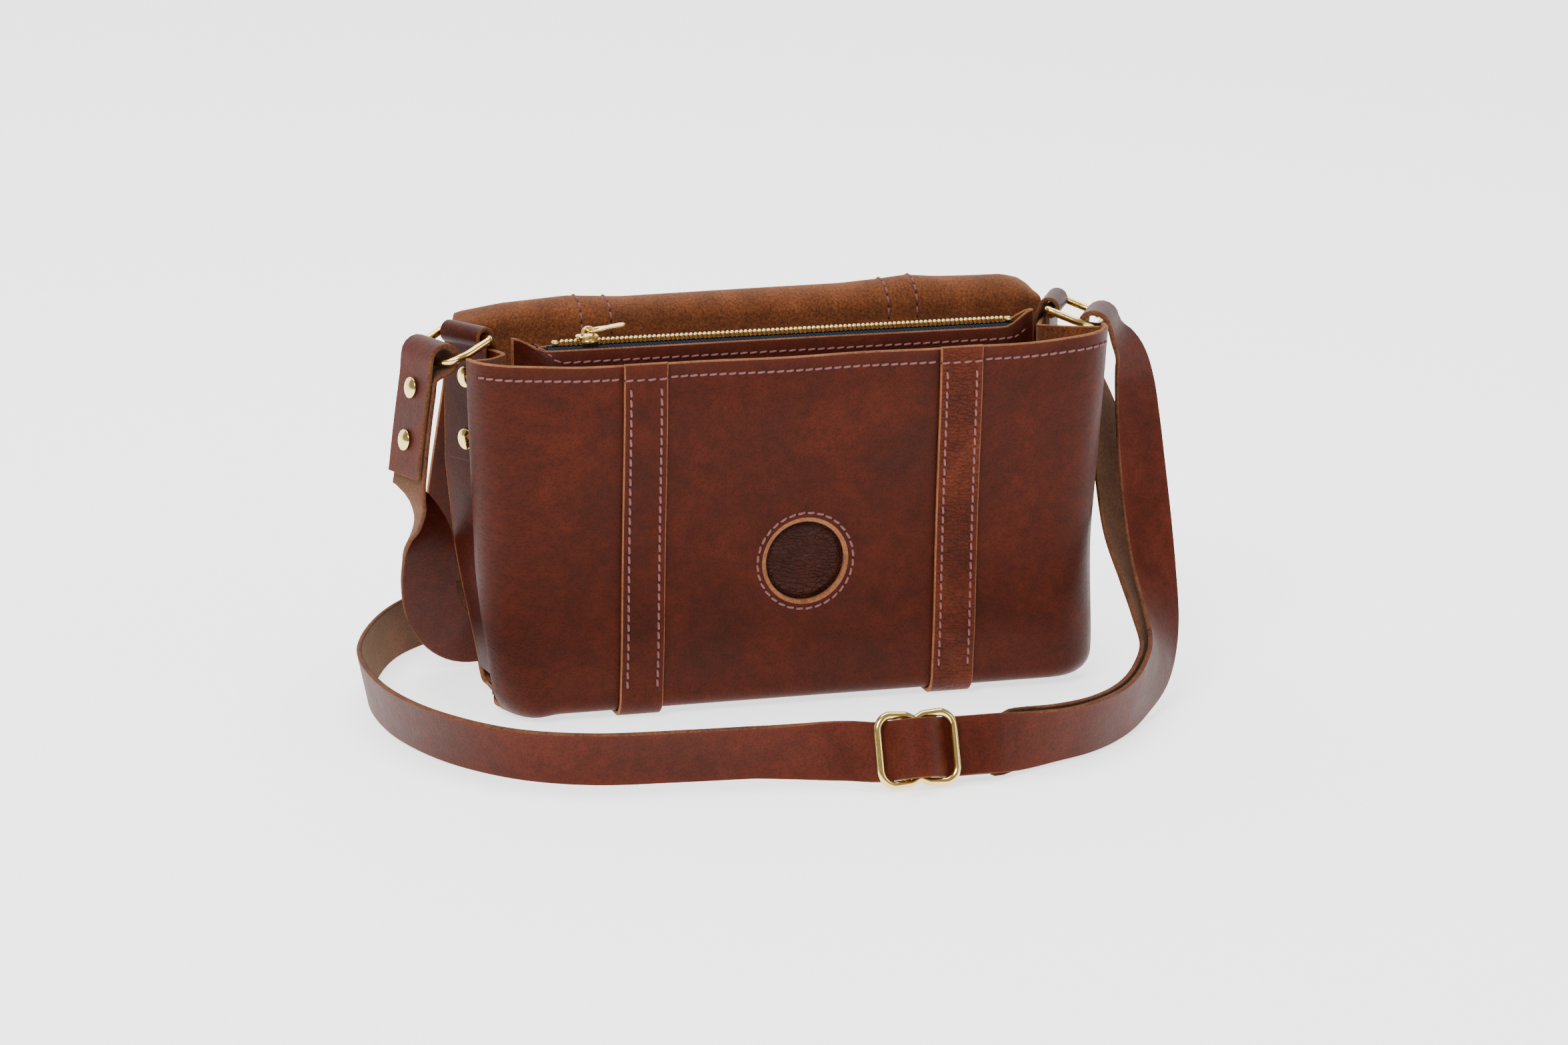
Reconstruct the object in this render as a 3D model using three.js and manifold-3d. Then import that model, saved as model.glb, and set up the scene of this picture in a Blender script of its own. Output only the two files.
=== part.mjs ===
// Crossbody purse in thick leather, standing open with its flap thrown back over its rear side.
// Millimetres, +Z up, -Y is the front. The origin is the middle of the underside.
//
// The purse is a wrap of leather (front, bottom and back in one) closed by two folded gussets,
// with a zipped pouch between the gusset valleys, two bands wrapped round it, a flap on hinge
// folds, a magnet closure, and a strap between two rings.

import * as THREE from "three";
import { mergeVertices } from "three/addons/utils/BufferGeometryUtils.js";
import Module from "manifold-3d";

// ---------------------------------------------------------------- driving dimensions

const GAP = 0.3; // clearance between neighbouring pieces
const ORIGIN_SHIFT = new THREE.Vector3(4, 10, 0); // from under the bag's middle to under the whole's

const LEATHER = 2.4; // wrap, flap and strap
const BAND_LEATHER = 2.2;
const GUSSET_LEATHER = 2.2;
const TAB_LEATHER = 2.0;
const POUCH_LEATHER = 1.6;
const PATCH_LEATHER = 1.2;

const FRONT_HEIGHT = 160;
const BACK_HEIGHT = 157.5;
const BOTTOM_LIFT = BAND_LEATHER + GAP; // the wrap's underside rides on the two bands
const BOTTOM_HALF_DEPTH = 36;
const BOTTOM_ROUND = 7;
const FRONT_LEAN = 8; // how much further forward the front's top edge stands
const BACK_LEAN = 3.5;
const FRONT_HALF_WIDTH = { bottom: 139, top: 147 };
const BACK_HALF_WIDTH = { bottom: 133, top: 143 };
const FRONT_CORNER = 20; // plan radius of the front's upright corners
const BACK_CORNER = 4;
const TAPER_HEIGHT = 105; // the back and the gusset folds stop widening here

const VALLEY = { bottom: 130, top: 123.5 }; // half-distance between the gussets' inward folds
const GUSSET_FOOT = 9.5;
const GUSSET_TOP = 159.5;
const VALLEY_ROUND = 3;
const EDGE_GAP = 1.6; // between the wrap's upright edges and the gussets' slanting ones

const BAND_X = 72;
const BAND_WIDTH = 19.5;

const MAGNET_X = 2.5;
const MAGNET_Z = 67;
const MAGNET_HOLE = 18; // radius
const MAGNET_RADIUS = 14;
const MAGNET_THICK = 2.4;
const MAGNET_COVER = 25; // radius of the stitched leather disc behind the hole

const POUCH_HALF_WIDTH = 120.5;
const ZIP_FROM = -99;
const ZIP_TO = 107;
const ZIP_TOP = 163.6;
const TOOTH_WIDTH = 1.6;
const TOOTH_HEIGHT = 2;
const SLIDER_X = -86;

const WIRE = 1.75; // radius of the rings' and the slider's brass wire
const RING_Z = 165; // height of the rings' straight bars
const RING_ALONG = 21.5; // from the gusset's inward fold to the middle of the ring's bar
const RING_DROOP = THREE.MathUtils.degToRad(20);
const RING_HALF_WIDTH = 15.6;
const RING_DEPTH = 24;
const RING_ROUND = 11;
const TAB_WIDTH = 24.6;
const TAB_FOOT = 108;
const TAB_RIVETS = [146, 118]; // heights
const ROLL = 4; // radius of the tab's roll, at the middle of its leather
const ROLL_OUT = 3.2; // how far the roll stands outwards of the gusset's middle

const RIVET_CAP = 4.75; // radius
const RIVET_CAP_HEIGHT = 1.7;
const RIVET_SHANK = 1.6;
const RIVET_HOLE = RIVET_SHANK + GAP;

const STRAP_WIDTH = 25.4;

const FLAP_HINGE = { y: 39.5, z: 160 };
const FLAP_ARCH = 12; // radius of the arch at rest
const FLAP_ARCH_TURN = 150; // degrees that the arch turns
const FLAP_TOP_LENGTH = 66;
const FLAP_DROP = 189; // from the arch's end to the flap's free edge
const FLAP_GAP = 2.8; // leather left out on each side of a hinge line
const FLAP_HALF_WIDTH = { hinge: 141, arch: 132, edge: 133 };
const FLAP_CORNER = 24;
const FLAP_MAGNET_INSET = 24; // from the free edge to the flap's magnet

// ---------------------------------------------------------------- materials

function leather(color) {
  return new THREE.MeshStandardMaterial({ color, roughness: 0.55, metalness: 0 });
}

function metal(color, roughness) {
  return new THREE.MeshStandardMaterial({ color, roughness, metalness: 1 });
}

const GRAIN = 0x6a3020;
const GRAIN_DARK = 0x532518;
const SUEDE = 0x8a4a24;
const BRASS = 0xd9b765;

// ---------------------------------------------------------------- shapes

const manifold = await Module();
manifold.setup();

/** Position-only geometry whose shared corners are one vertex each. */
function welded(geometry) {
  const bare = geometry.clone();
  bare.deleteAttribute("normal");
  bare.deleteAttribute("uv");
  return mergeVertices(bare, 1e-4);
}

function toSolid(geometry) {
  const shape = welded(geometry);
  const mesh = new manifold.Mesh({
    numProp: 3,
    vertProperties: new Float32Array(shape.attributes.position.array),
    triVerts: new Uint32Array(shape.index.array),
  });
  return new manifold.Manifold(mesh);
}

function fromSolid(solid) {
  const mesh = solid.getMesh();
  const geometry = new THREE.BufferGeometry();
  geometry.setAttribute("position", new THREE.BufferAttribute(mesh.vertProperties, 3));
  geometry.setIndex(new THREE.BufferAttribute(mesh.triVerts, 1));
  return geometry;
}

function cut(geometry, tools) {
  let solid = toSolid(geometry);
  for (const tool of tools) {
    solid = solid.subtract(toSolid(tool));
  }
  return fromSolid(solid);
}

function joined(geometries) {
  let solid = toSolid(geometries[0]);
  for (const other of geometries.slice(1)) {
    solid = solid.add(toSolid(other));
  }
  return fromSolid(solid);
}

/** Turns a closed mesh the right way out, judged by the sign of its volume. */
function facingOut(points, index) {
  const a = new THREE.Vector3();
  let volume = 0;
  for (let i = 0; i < index.length; i += 3) {
    a.crossVectors(points[index[i]], points[index[i + 1]]);
    volume += a.dot(points[index[i + 2]]);
  }
  return volume < 0 ? index.slice().reverse() : index;
}

/** Sheet with two faces: outer and inner are matching grids of points, closed along all four edges. */
function sheet(outer, inner) {
  const rows = outer.length;
  const columns = outer[0].length;
  const points = [...outer.flat(), ...inner.flat()];
  const at = (layer, row, column) => layer * rows * columns + row * columns + column;
  const index = [];
  const quad = (a, b, c, d) => index.push(a, b, c, a, c, d);
  for (let row = 0; row + 1 < rows; row++) {
    for (let column = 0; column + 1 < columns; column++) {
      const corners = [[row, column], [row, column + 1], [row + 1, column + 1], [row + 1, column]];
      quad(...corners.map(([i, j]) => at(0, i, j)));
      quad(...corners.reverse().map(([i, j]) => at(1, i, j)));
    }
  }
  const rim = [];
  for (let column = 0; column + 1 < columns; column++) {
    rim.push([0, column]);
  }
  for (let row = 0; row + 1 < rows; row++) {
    rim.push([row, columns - 1]);
  }
  for (let column = columns - 1; column > 0; column--) {
    rim.push([rows - 1, column]);
  }
  for (let row = rows - 1; row > 0; row--) {
    rim.push([row, 0]);
  }
  rim.forEach(([i, j], step) => {
    const [k, l] = rim[(step + 1) % rim.length];
    quad(at(0, k, l), at(0, i, j), at(1, i, j), at(1, k, l));
  });
  const geometry = new THREE.BufferGeometry().setFromPoints(points);
  geometry.setIndex(facingOut(points, index));
  return geometry;
}

function mix(from, to, part) {
  return from + (to - from) * part;
}

/** Points of an arc in a plane, both ends included; angles in degrees. */
function arc(centre, radius, from, to, steps) {
  return Array.from({ length: steps + 1 }, (_, step) => {
    const angle = THREE.MathUtils.degToRad(mix(from, to, step / steps));
    return new THREE.Vector2(
      centre.x + radius * Math.cos(angle),
      centre.y + radius * Math.sin(angle),
    );
  });
}

/** The line moved sideways by a distance (left of its direction), with mitred corners. */
function offsetLine(line, distance) {
  const sides = line.slice(1).map((point, i) => {
    const along = point.clone().sub(line[i]).normalize();
    return new THREE.Vector2(-along.y, along.x);
  });
  return line.map((point, i) => {
    const before = sides[Math.max(i - 1, 0)];
    const after = sides[Math.min(i, sides.length - 1)];
    const side = before.clone().add(after);
    const reach = (2 * distance) / side.lengthSq();
    return point.clone().add(side.multiplyScalar(reach));
  });
}

/** Closed outline of a line with a thickness. */
function thickLine(line, thickness) {
  return [...offsetLine(line, thickness / 2), ...offsetLine(line, -thickness / 2).reverse()];
}

function extrude(outline, depth) {
  const shape = new THREE.Shape(outline);
  return new THREE.ExtrudeGeometry(shape, { depth, bevelEnabled: false, curveSegments: 1 });
}

/** Extrusion along X of an outline drawn in (y, z). */
function alongX(outline, from, to) {
  const frame = new THREE.Matrix4().makeBasis(
    new THREE.Vector3(0, 1, 0),
    new THREE.Vector3(0, 0, 1),
    new THREE.Vector3(1, 0, 0),
  );
  return extrude(outline, to - from).applyMatrix4(frame).translate(from, 0, 0);
}

/** Solid of revolution about +Y from (radius, height) pairs that start and end on the axis. */
function turned(profile, segments) {
  return new THREE.LatheGeometry(profile.map(([r, h]) => new THREE.Vector2(r, h)), segments);
}

/** Rivet along +Y: a low domed cap at each end of a shank that spans the given thickness. */
function rivetShape(grip) {
  const half = grip / 2;
  const top = half + RIVET_CAP_HEIGHT;
  const dome = [[RIVET_CAP, half + 0.5], [RIVET_CAP * 0.72, top - 0.3], [0, top]];
  const upper = [[RIVET_SHANK, half], [RIVET_CAP, half], ...dome];
  const lower = upper.map(([r, h]) => [r, -h]).reverse();
  return turned([...lower, ...upper], 16);
}

function rod(radius, length, segments) {
  return new THREE.CylinderGeometry(radius, radius, length, segments);
}

/** Matrix that takes +Y to a direction and puts the middle at a point. */
function aimed(point, direction) {
  const turn = new THREE.Quaternion().setFromUnitVectors(
    new THREE.Vector3(0, 1, 0),
    direction.clone().normalize(),
  );
  return new THREE.Matrix4().compose(point, turn, new THREE.Vector3(1, 1, 1));
}

/** Wire bent into a closed loop through the given points. */
function wireLoop(points, radius, steps) {
  const path = new THREE.CatmullRomCurve3(points, true, "centripetal");
  return welded(new THREE.TubeGeometry(path, steps, radius, 8, true));
}

/** Flat strap: centre and width direction given at stations, thickness across both. */
function ribbon(stations, steps, width) {
  const line = new THREE.CatmullRomCurve3(stations.map((s) => new THREE.Vector3(...s.at)));
  const across = new THREE.CatmullRomCurve3(stations.map((s) => new THREE.Vector3(...s.across)));
  const faces = [[], []];
  for (let step = 0; step <= steps; step++) {
    const t = step / steps;
    const centre = line.getPoint(t);
    const along = line.getTangent(t);
    const side = across.getPoint(t);
    side.addScaledVector(along, -side.dot(along)).normalize();
    const normal = along.clone().cross(side);
    faces.forEach((face, layer) => {
      const depth = (layer - 0.5) * LEATHER;
      face.push([-1, 0, 1].map((edge) => centre.clone()
        .addScaledVector(side, (edge * width) / 2)
        .addScaledVector(normal, depth)));
    });
  }
  return sheet(faces[0], faces[1]);
}

// ---------------------------------------------------------------- assembly

const group = new THREE.Group();

function add(parent, name, geometry, material) {
  const mesh = new THREE.Mesh(geometry, material);
  mesh.name = name;
  parent.add(mesh);
  return mesh;
}

// ---------------------------------------------------------------- the wrap: front, bottom, back

function frontY(z) {
  return -(BOTTOM_HALF_DEPTH + (FRONT_LEAN * z) / FRONT_HEIGHT);
}

function backY(z) {
  return BOTTOM_HALF_DEPTH + (BACK_LEAN * z) / BACK_HEIGHT;
}

function taper(range, z, height) {
  return mix(range.bottom, range.top, Math.min(z / height, 1));
}

const FRONT_TURN = -2.9; // degrees, the front wall's lean
const BACK_TURN = 1.3;

/** Section of the wrap in (y, z), from the front's top edge under the purse to the back's, moved out. */
function wrapSection(out, frontTop, backTop) {
  const low = BOTTOM_LIFT + BOTTOM_ROUND;
  const radius = BOTTOM_ROUND + out;
  const front = new THREE.Vector2(frontY(low) + BOTTOM_ROUND, low);
  const back = new THREE.Vector2(backY(low) - BOTTOM_ROUND, low);
  const walls = [frontTop, mix(frontTop, low, 0.5)];
  return [
    ...walls.map((z) => new THREE.Vector2(frontY(z) - out, z)),
    ...arc(front, radius, 180 + FRONT_TURN, 270, 4),
    ...arc(back, radius, 270, 360 + BACK_TURN, 4),
    ...[mix(backTop, low, 0.5), backTop].map((z) => new THREE.Vector2(backY(z) + out, z)),
  ];
}

/** One face of the wrap: its section swept across the purse and turned in at the corners. */
function wrapFace(out) {
  const section = wrapSection(out, FRONT_HEIGHT, BACK_HEIGHT);
  const turns = [90, 65, 40, 20, 0];
  return section.map((point, row) => {
    const behind = row / (section.length - 1) > 0.5;
    const radius = (behind ? BACK_CORNER : FRONT_CORNER) + out;
    const widths = behind ? BACK_HALF_WIDTH : FRONT_HALF_WIDTH;
    const half = taper(widths, point.y, behind ? TAPER_HEIGHT : FRONT_HEIGHT) + out;
    const wall = Math.max(Math.abs(point.x), BOTTOM_HALF_DEPTH + out);
    const place = (side, turn) => {
      const angle = THREE.MathUtils.degToRad(turn);
      const inset = radius * (1 - Math.cos(angle));
      return new THREE.Vector3(
        side * (half - radius + radius * Math.sin(angle)),
        point.x * (1 - inset / wall),
        point.y,
      );
    };
    const left = turns.map((turn) => place(-1, turn));
    const right = turns.map((turn) => place(1, turn)).reverse();
    return [...left, ...right];
  });
}

/** Point on the front wall's outer face, moved out along its normal. */
function onFront(x, z, out) {
  const lean = Math.atan(FRONT_LEAN / FRONT_HEIGHT);
  return new THREE.Vector3(x, frontY(z) - out * Math.cos(lean), z - out * Math.sin(lean));
}

const frontOut = new THREE.Vector3(0, -1, -FRONT_LEAN / FRONT_HEIGHT).normalize();

function addWrap(parent) {
  const hole = rod(MAGNET_HOLE, 20, 32).applyMatrix4(aimed(onFront(MAGNET_X, MAGNET_Z, 0), frontOut));
  add(parent, "body_panel", cut(sheet(wrapFace(0), wrapFace(-LEATHER)), [hole]), leather(GRAIN));
}

function addFrontMagnet(parent) {
  const disc = (radius, thick) => rod(radius, thick, 28);
  const place = (out) => aimed(onFront(MAGNET_X, MAGNET_Z, out), frontOut);
  const coverOut = -LEATHER - GAP - PATCH_LEATHER / 2;
  const dome = disc(MAGNET_RADIUS + 2, PATCH_LEATHER + MAGNET_THICK / 2).translate(0, MAGNET_THICK / 4, 0);
  const seat = disc(MAGNET_RADIUS + GAP, PATCH_LEATHER).translate(0, -PATCH_LEATHER / 2 + GAP, 0);
  const cover = cut(joined([disc(MAGNET_COVER, PATCH_LEATHER), dome]), [seat]);
  add(parent, "magnet_cover", cover.applyMatrix4(place(coverOut)), leather(GRAIN_DARK));
  const magnetOut = coverOut - MAGNET_THICK / 2 + GAP / 2;
  const magnet = disc(MAGNET_RADIUS, MAGNET_THICK);
  add(parent, "magnet_disc", magnet.applyMatrix4(place(magnetOut)), metal(0xb8bcc0, 0.35));
  const backingOut = magnetOut - MAGNET_THICK / 2 - GAP - PATCH_LEATHER / 2;
  const backing = disc(MAGNET_COVER, PATCH_LEATHER).applyMatrix4(place(backingOut));
  add(parent, "magnet_backing", backing, leather(SUEDE));
}

function addBands(parent) {
  const line = wrapSection(GAP + BAND_LEATHER / 2, FRONT_HEIGHT + 1, BACK_HEIGHT - 1);
  for (const [side, name] of [[-1, "band_left"], [1, "band_right"]]) {
    const middle = side * BAND_X;
    const geometry = alongX(
      thickLine(line, BAND_LEATHER),
      middle - BAND_WIDTH / 2,
      middle + BAND_WIDTH / 2,
    );
    add(parent, name, geometry, leather(GRAIN));
  }
}

// ---------------------------------------------------------------- gussets

/** Plan line of a gusset at a height: front corner, inward fold, back corner. */
function gussetPlan(side, z) {
  const inset = GUSSET_LEATHER / 2;
  const front = new THREE.Vector2(
    taper(FRONT_HALF_WIDTH, z, FRONT_HEIGHT) - inset,
    frontY(z) + FRONT_CORNER + EDGE_GAP,
  );
  const back = new THREE.Vector2(
    taper(BACK_HALF_WIDTH, z, TAPER_HEIGHT) - inset,
    backY(z) - BACK_CORNER - EDGE_GAP,
  );
  const fold = new THREE.Vector2(taper(VALLEY, z, TAPER_HEIGHT), 0);
  const towards = (end) => fold.clone().add(end.clone().sub(fold).setLength(VALLEY_ROUND));
  return [front, towards(front), towards(back), back].map((p) => new THREE.Vector2(side * p.x, p.y));
}

// The rings' bars run along the gussets' rear halves, which splay outwards to the back.
const rearEdge = gussetPlan(1, RING_Z - 30)[3];
const RING_SPLAY = Math.atan2(rearEdge.x - VALLEY.top, rearEdge.y);
const RING = {
  x: VALLEY.top + RING_ALONG * Math.sin(RING_SPLAY) + ROLL_OUT * Math.cos(RING_SPLAY),
  y: RING_ALONG * Math.cos(RING_SPLAY) - ROLL_OUT * Math.sin(RING_SPLAY),
};

const up = new THREE.Vector3(0, 0, 1);

/** Direction of a ring's bar, to the back. */
function ringAxis(side) {
  return new THREE.Vector3(side * Math.sin(RING_SPLAY), Math.cos(RING_SPLAY), 0);
}

/** Direction away from the purse at a ring. */
function ringOut(side) {
  return new THREE.Vector3(side * Math.cos(RING_SPLAY), -Math.sin(RING_SPLAY), 0);
}

/** Matrix from a ring's own frame (x outwards, y up, z along its bar) to the purse. */
function ringFrame(side) {
  const out = ringOut(side);
  const bar = out.clone().cross(up);
  const frame = new THREE.Matrix4().makeBasis(out, up, bar);
  return frame.setPosition(side * RING.x, RING.y, 0);
}

function tabRivetPlaces(side) {
  return TAB_RIVETS.map((z) => {
    const point = new THREE.Vector3(-ROLL_OUT, z, 0).applyMatrix4(ringFrame(side));
    return aimed(point, ringOut(side));
  });
}

function addGusset(parent, side, name) {
  const heights = [GUSSET_FOOT, 40, TAPER_HEIGHT, GUSSET_TOP];
  const faces = [1, -1].map((layer) => heights.map((z) => {
    const edge = offsetLine(gussetPlan(side, z), (layer * GUSSET_LEATHER) / 2);
    return edge.map((p) => new THREE.Vector3(p.x, p.y, z));
  }));
  const holes = tabRivetPlaces(side).map((place) => rod(RIVET_HOLE, 12, 12).applyMatrix4(place));
  add(parent, name, cut(sheet(faces[0], faces[1]), holes), leather(GRAIN));
}

// ---------------------------------------------------------------- ring tabs and rings

function addTab(parent, side, name) {
  const leg = GUSSET_LEATHER / 2 + 2 * GAP + TAB_LEATHER / 2;
  const outer = leg - ROLL_OUT;
  const inner = -leg - ROLL_OUT;
  const line = [
    new THREE.Vector2(outer, TAB_FOOT),
    new THREE.Vector2(outer, RING_Z - ROLL - 1.6),
    ...arc(new THREE.Vector2(0, RING_Z), ROLL, -96, 180, 14),
    new THREE.Vector2(inner, RING_Z - ROLL),
    new THREE.Vector2(inner, TAB_FOOT),
  ];
  const loop = extrude(thickLine(line, TAB_LEATHER), TAB_WIDTH).translate(0, 0, -TAB_WIDTH / 2);
  const holes = tabRivetPlaces(side).map((place) => rod(RIVET_HOLE, 16, 12).applyMatrix4(place));
  add(parent, name, cut(loop.applyMatrix4(ringFrame(side)), holes), leather(GRAIN));
}

function addTabRivets(parent, side, name) {
  const grip = GUSSET_LEATHER + 2 * (2 * GAP + TAB_LEATHER + GAP);
  tabRivetPlaces(side).forEach((place, i) => {
    const label = `${name}_${["upper", "lower"][i]}`;
    add(parent, label, rivetShape(grip).applyMatrix4(place), metal(BRASS, 0.25));
  });
}

/** Ring in its own frame before it droops: straight bar on the z axis, rounded side outwards. */
function ringPoints() {
  const half = RING_HALF_WIDTH;
  const round = RING_ROUND;
  const heel = 1.5;
  const quarter = (x, z, radius, from, to) => arc(new THREE.Vector2(x, z), radius, from, to, 4);
  const outline = [
    new THREE.Vector2(0, -half / 2),
    new THREE.Vector2(0, 0),
    new THREE.Vector2(0, half / 2),
    ...quarter(heel, half - heel, heel, 180, 90),
    ...quarter(RING_DEPTH - round, half - round, round, 90, 0),
    ...quarter(RING_DEPTH - round, round - half, round, 0, -90),
    ...quarter(heel, heel - half, heel, 270, 180),
  ];
  return outline.map((p) => new THREE.Vector3(p.x, 0, p.y));
}

function addRing(parent, side, name) {
  const droop = new THREE.Matrix4().makeRotationZ(-RING_DROOP);
  const lift = new THREE.Matrix4().makeTranslation(0, RING_Z, 0);
  const place = ringFrame(side).multiply(lift).multiply(droop);
  add(parent, name, wireLoop(ringPoints(), WIRE, 56).applyMatrix4(place), metal(BRASS, 0.2));
}

// ---------------------------------------------------------------- zipped pouch

/** Half of the pouch's section in (y, z); side -1 is the front half. */
function pouchLine(side) {
  const points = [[1.4, 16], [8.5, 60], [9.5, 145], [8.4, 155.5], [5.8, 160.4]];
  return points.map(([y, z]) => new THREE.Vector2(side * y, z));
}

function addPouch(parent) {
  const tape = [[5.4, 150], [1.9, ZIP_TOP - TOOTH_HEIGHT - 0.5]];
  for (const [side, name] of [[-1, "front"], [1, "back"]]) {
    const panel = alongX(thickLine(pouchLine(side), POUCH_LEATHER), -POUCH_HALF_WIDTH, POUCH_HALF_WIDTH);
    add(parent, `pouch_${name}_panel`, panel, leather(GRAIN));
    const tapeLine = tape.map(([y, z]) => new THREE.Vector2(side * y, z));
    const strip = alongX(thickLine(tapeLine, 0.8), ZIP_FROM - 6, ZIP_TO + 6);
    const cloth = new THREE.MeshStandardMaterial({ color: 0x1c2430, roughness: 0.9, metalness: 0 });
    add(parent, `zip_tape_${name}`, strip, cloth);
    const teeth = new THREE.BoxGeometry(ZIP_TO - ZIP_FROM, TOOTH_WIDTH, TOOTH_HEIGHT);
    teeth.translate(
      (ZIP_FROM + ZIP_TO) / 2,
      side * (TOOTH_WIDTH / 2 + GAP / 2),
      ZIP_TOP - TOOTH_HEIGHT / 2,
    );
    add(parent, `zip_teeth_${name}`, teeth, metal(BRASS, 0.3));
  }
  for (const [x, name] of [[ZIP_FROM - 2, "left"], [ZIP_TO + 2, "right"]]) {
    const stop = new THREE.BoxGeometry(3, 4.4, TOOTH_HEIGHT);
    add(parent, `zip_stop_${name}`, stop.translate(x, 0, ZIP_TOP - TOOTH_HEIGHT / 2), metal(BRASS, 0.3));
  }
}

const SLIDER_LENGTH = 9;
const PULL_LENGTH = 17;
const PULL_HINGE_Z = ZIP_TOP + 3.5;

/** Slider: a crown over the teeth with two flanges beside them, a staple for the pull. */
function addSlider(parent) {
  const half = TOOTH_WIDTH + GAP / 2 + GAP + 0.2;
  const roof = ZIP_TOP + GAP;
  const crown = [
    [-half - 1.6, ZIP_TOP - TOOTH_HEIGHT], [-half, ZIP_TOP - TOOTH_HEIGHT], [-half, roof],
    [half, roof], [half, ZIP_TOP - TOOTH_HEIGHT], [half + 1.6, ZIP_TOP - TOOTH_HEIGHT],
    [half + 1.6, roof + 0.6], [half + 0.6, roof + 1.5], [-half - 0.6, roof + 1.5],
    [-half - 1.6, roof + 0.6],
  ].map(([y, z]) => new THREE.Vector2(y, z));
  const body = alongX(crown, SLIDER_X - SLIDER_LENGTH / 2, SLIDER_X + SLIDER_LENGTH / 2);
  const staple = new THREE.Shape([[-3.4, 0], [3.4, 0], [3.4, 2.6], [2, 4.2], [-2, 4.2], [-3.4, 2.6]]
    .map(([x, z]) => new THREE.Vector2(x, z)));
  const eye = [[-2.2, 1], [-2.2, 2.6], [-1.6, 3.3], [1.6, 3.3], [2.2, 2.6], [2.2, 1]];
  staple.holes.push(new THREE.Path(eye.map(([x, z]) => new THREE.Vector2(x, z))));
  const bridge = new THREE.ExtrudeGeometry(staple, { depth: 1.8, bevelEnabled: false });
  bridge.rotateX(Math.PI / 2).translate(SLIDER_X, 0.9, roof + 1);
  add(parent, "zip_slider", joined([body, bridge]), metal(BRASS, 0.25));
  const foot = new THREE.BoxGeometry(SLIDER_LENGTH, 1.6, 1.2);
  foot.translate(SLIDER_X, 0, ZIP_TOP - TOOTH_HEIGHT - 0.3 - 1.4);
  add(parent, "zip_slider_foot", foot, metal(BRASS, 0.3));
}

/** Pull: a flat tongue with an eye round the staple, lying towards the closed end of the zip. */
function addPull(parent) {
  const outline = new THREE.Shape([[-0.6, -2.8], [5, -3.4], [PULL_LENGTH, -2.4], [PULL_LENGTH, 2.4],
    [5, 3.4], [-0.6, 2.8]].map(([x, y]) => new THREE.Vector2(x, y)));
  const eye = [[0.6, -1.4], [4.6, -1.4], [4.6, 1.4], [0.6, 1.4]];
  outline.holes.push(new THREE.Path(eye.map(([x, y]) => new THREE.Vector2(x, y))));
  const tongue = new THREE.ExtrudeGeometry(outline, { depth: 1, bevelEnabled: false });
  tongue.translate(0, 0, -0.5).rotateY(THREE.MathUtils.degToRad(-8));
  tongue.translate(SLIDER_X, 0, PULL_HINGE_Z);
  add(parent, "zip_pull", tongue, metal(BRASS, 0.25));
}

// ---------------------------------------------------------------- flap

const archCentre = new THREE.Vector2(FLAP_HINGE.y + FLAP_ARCH, FLAP_HINGE.z);
const archEnd = 180 - FLAP_ARCH_TURN;
const archMiddle = 180 - FLAP_ARCH_TURN / 2;
const hangTurn = archEnd - 90; // direction of the hanging flap, degrees from +Y

function onArch(degrees) {
  return arc(archCentre, FLAP_ARCH, degrees, degrees, 1)[0];
}

function hanging(distance) {
  const angle = THREE.MathUtils.degToRad(hangTurn);
  const start = onArch(archEnd);
  return new THREE.Vector2(
    start.x + distance * Math.cos(angle),
    start.y + distance * Math.sin(angle),
  );
}

/** Half-width of the flap at a distance from the hinge line, measured along it. */
function flapHalfWidth(distance) {
  const archLength = THREE.MathUtils.degToRad(FLAP_ARCH_TURN) * FLAP_ARCH;
  if (distance < archLength) {
    return mix(FLAP_HALF_WIDTH.hinge, FLAP_HALF_WIDTH.arch, distance / archLength);
  }
  const whole = mix(FLAP_HALF_WIDTH.arch, FLAP_HALF_WIDTH.edge, (distance - archLength) / FLAP_DROP);
  const toEdge = archLength + FLAP_DROP - distance;
  const bite = Math.max(FLAP_CORNER - toEdge, 0);
  return whole - FLAP_CORNER + Math.sqrt(FLAP_CORNER ** 2 - bite ** 2);
}

/** A stretch of the flap from a line in (y, z) with the distance of each of its points. */
function flapPiece(line, distances, thickness, halfWidths) {
  const faces = [1, -1].map((layer) => {
    const edge = offsetLine(line, (layer * thickness) / 2);
    return edge.map((p, i) => {
      const half = halfWidths ? halfWidths(distances[i]) : 1;
      return [-half, 0, half].map((x) => new THREE.Vector3(x, p.x, p.y));
    });
  });
  return sheet(faces[0], faces[1]);
}

function addFlapFold(parent, name, from, to) {
  const trim = THREE.MathUtils.radToDeg(FLAP_GAP / FLAP_ARCH);
  const line = arc(archCentre, FLAP_ARCH, from - trim, to + trim, 4);
  const distances = line.map((_, i) => {
    const angle = 180 - mix(from - trim, to + trim, i / 4);
    return THREE.MathUtils.degToRad(angle) * FLAP_ARCH;
  });
  add(parent, name, flapPiece(line, distances, LEATHER, flapHalfWidth), leather(SUEDE));
}

/** Band sewn on the flap's grain side, which is its under side while the flap hangs open. */
function addFlapBand(parent, side, name, from, to) {
  const line = offsetLine([hanging(from), hanging(to)], -(LEATHER / 2 + GAP + BAND_LEATHER / 2));
  const middle = side * BAND_X;
  const band = alongX(thickLine(line, BAND_LEATHER), middle - BAND_WIDTH / 2, middle + BAND_WIDTH / 2);
  add(parent, name, band, leather(GRAIN));
}

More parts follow.
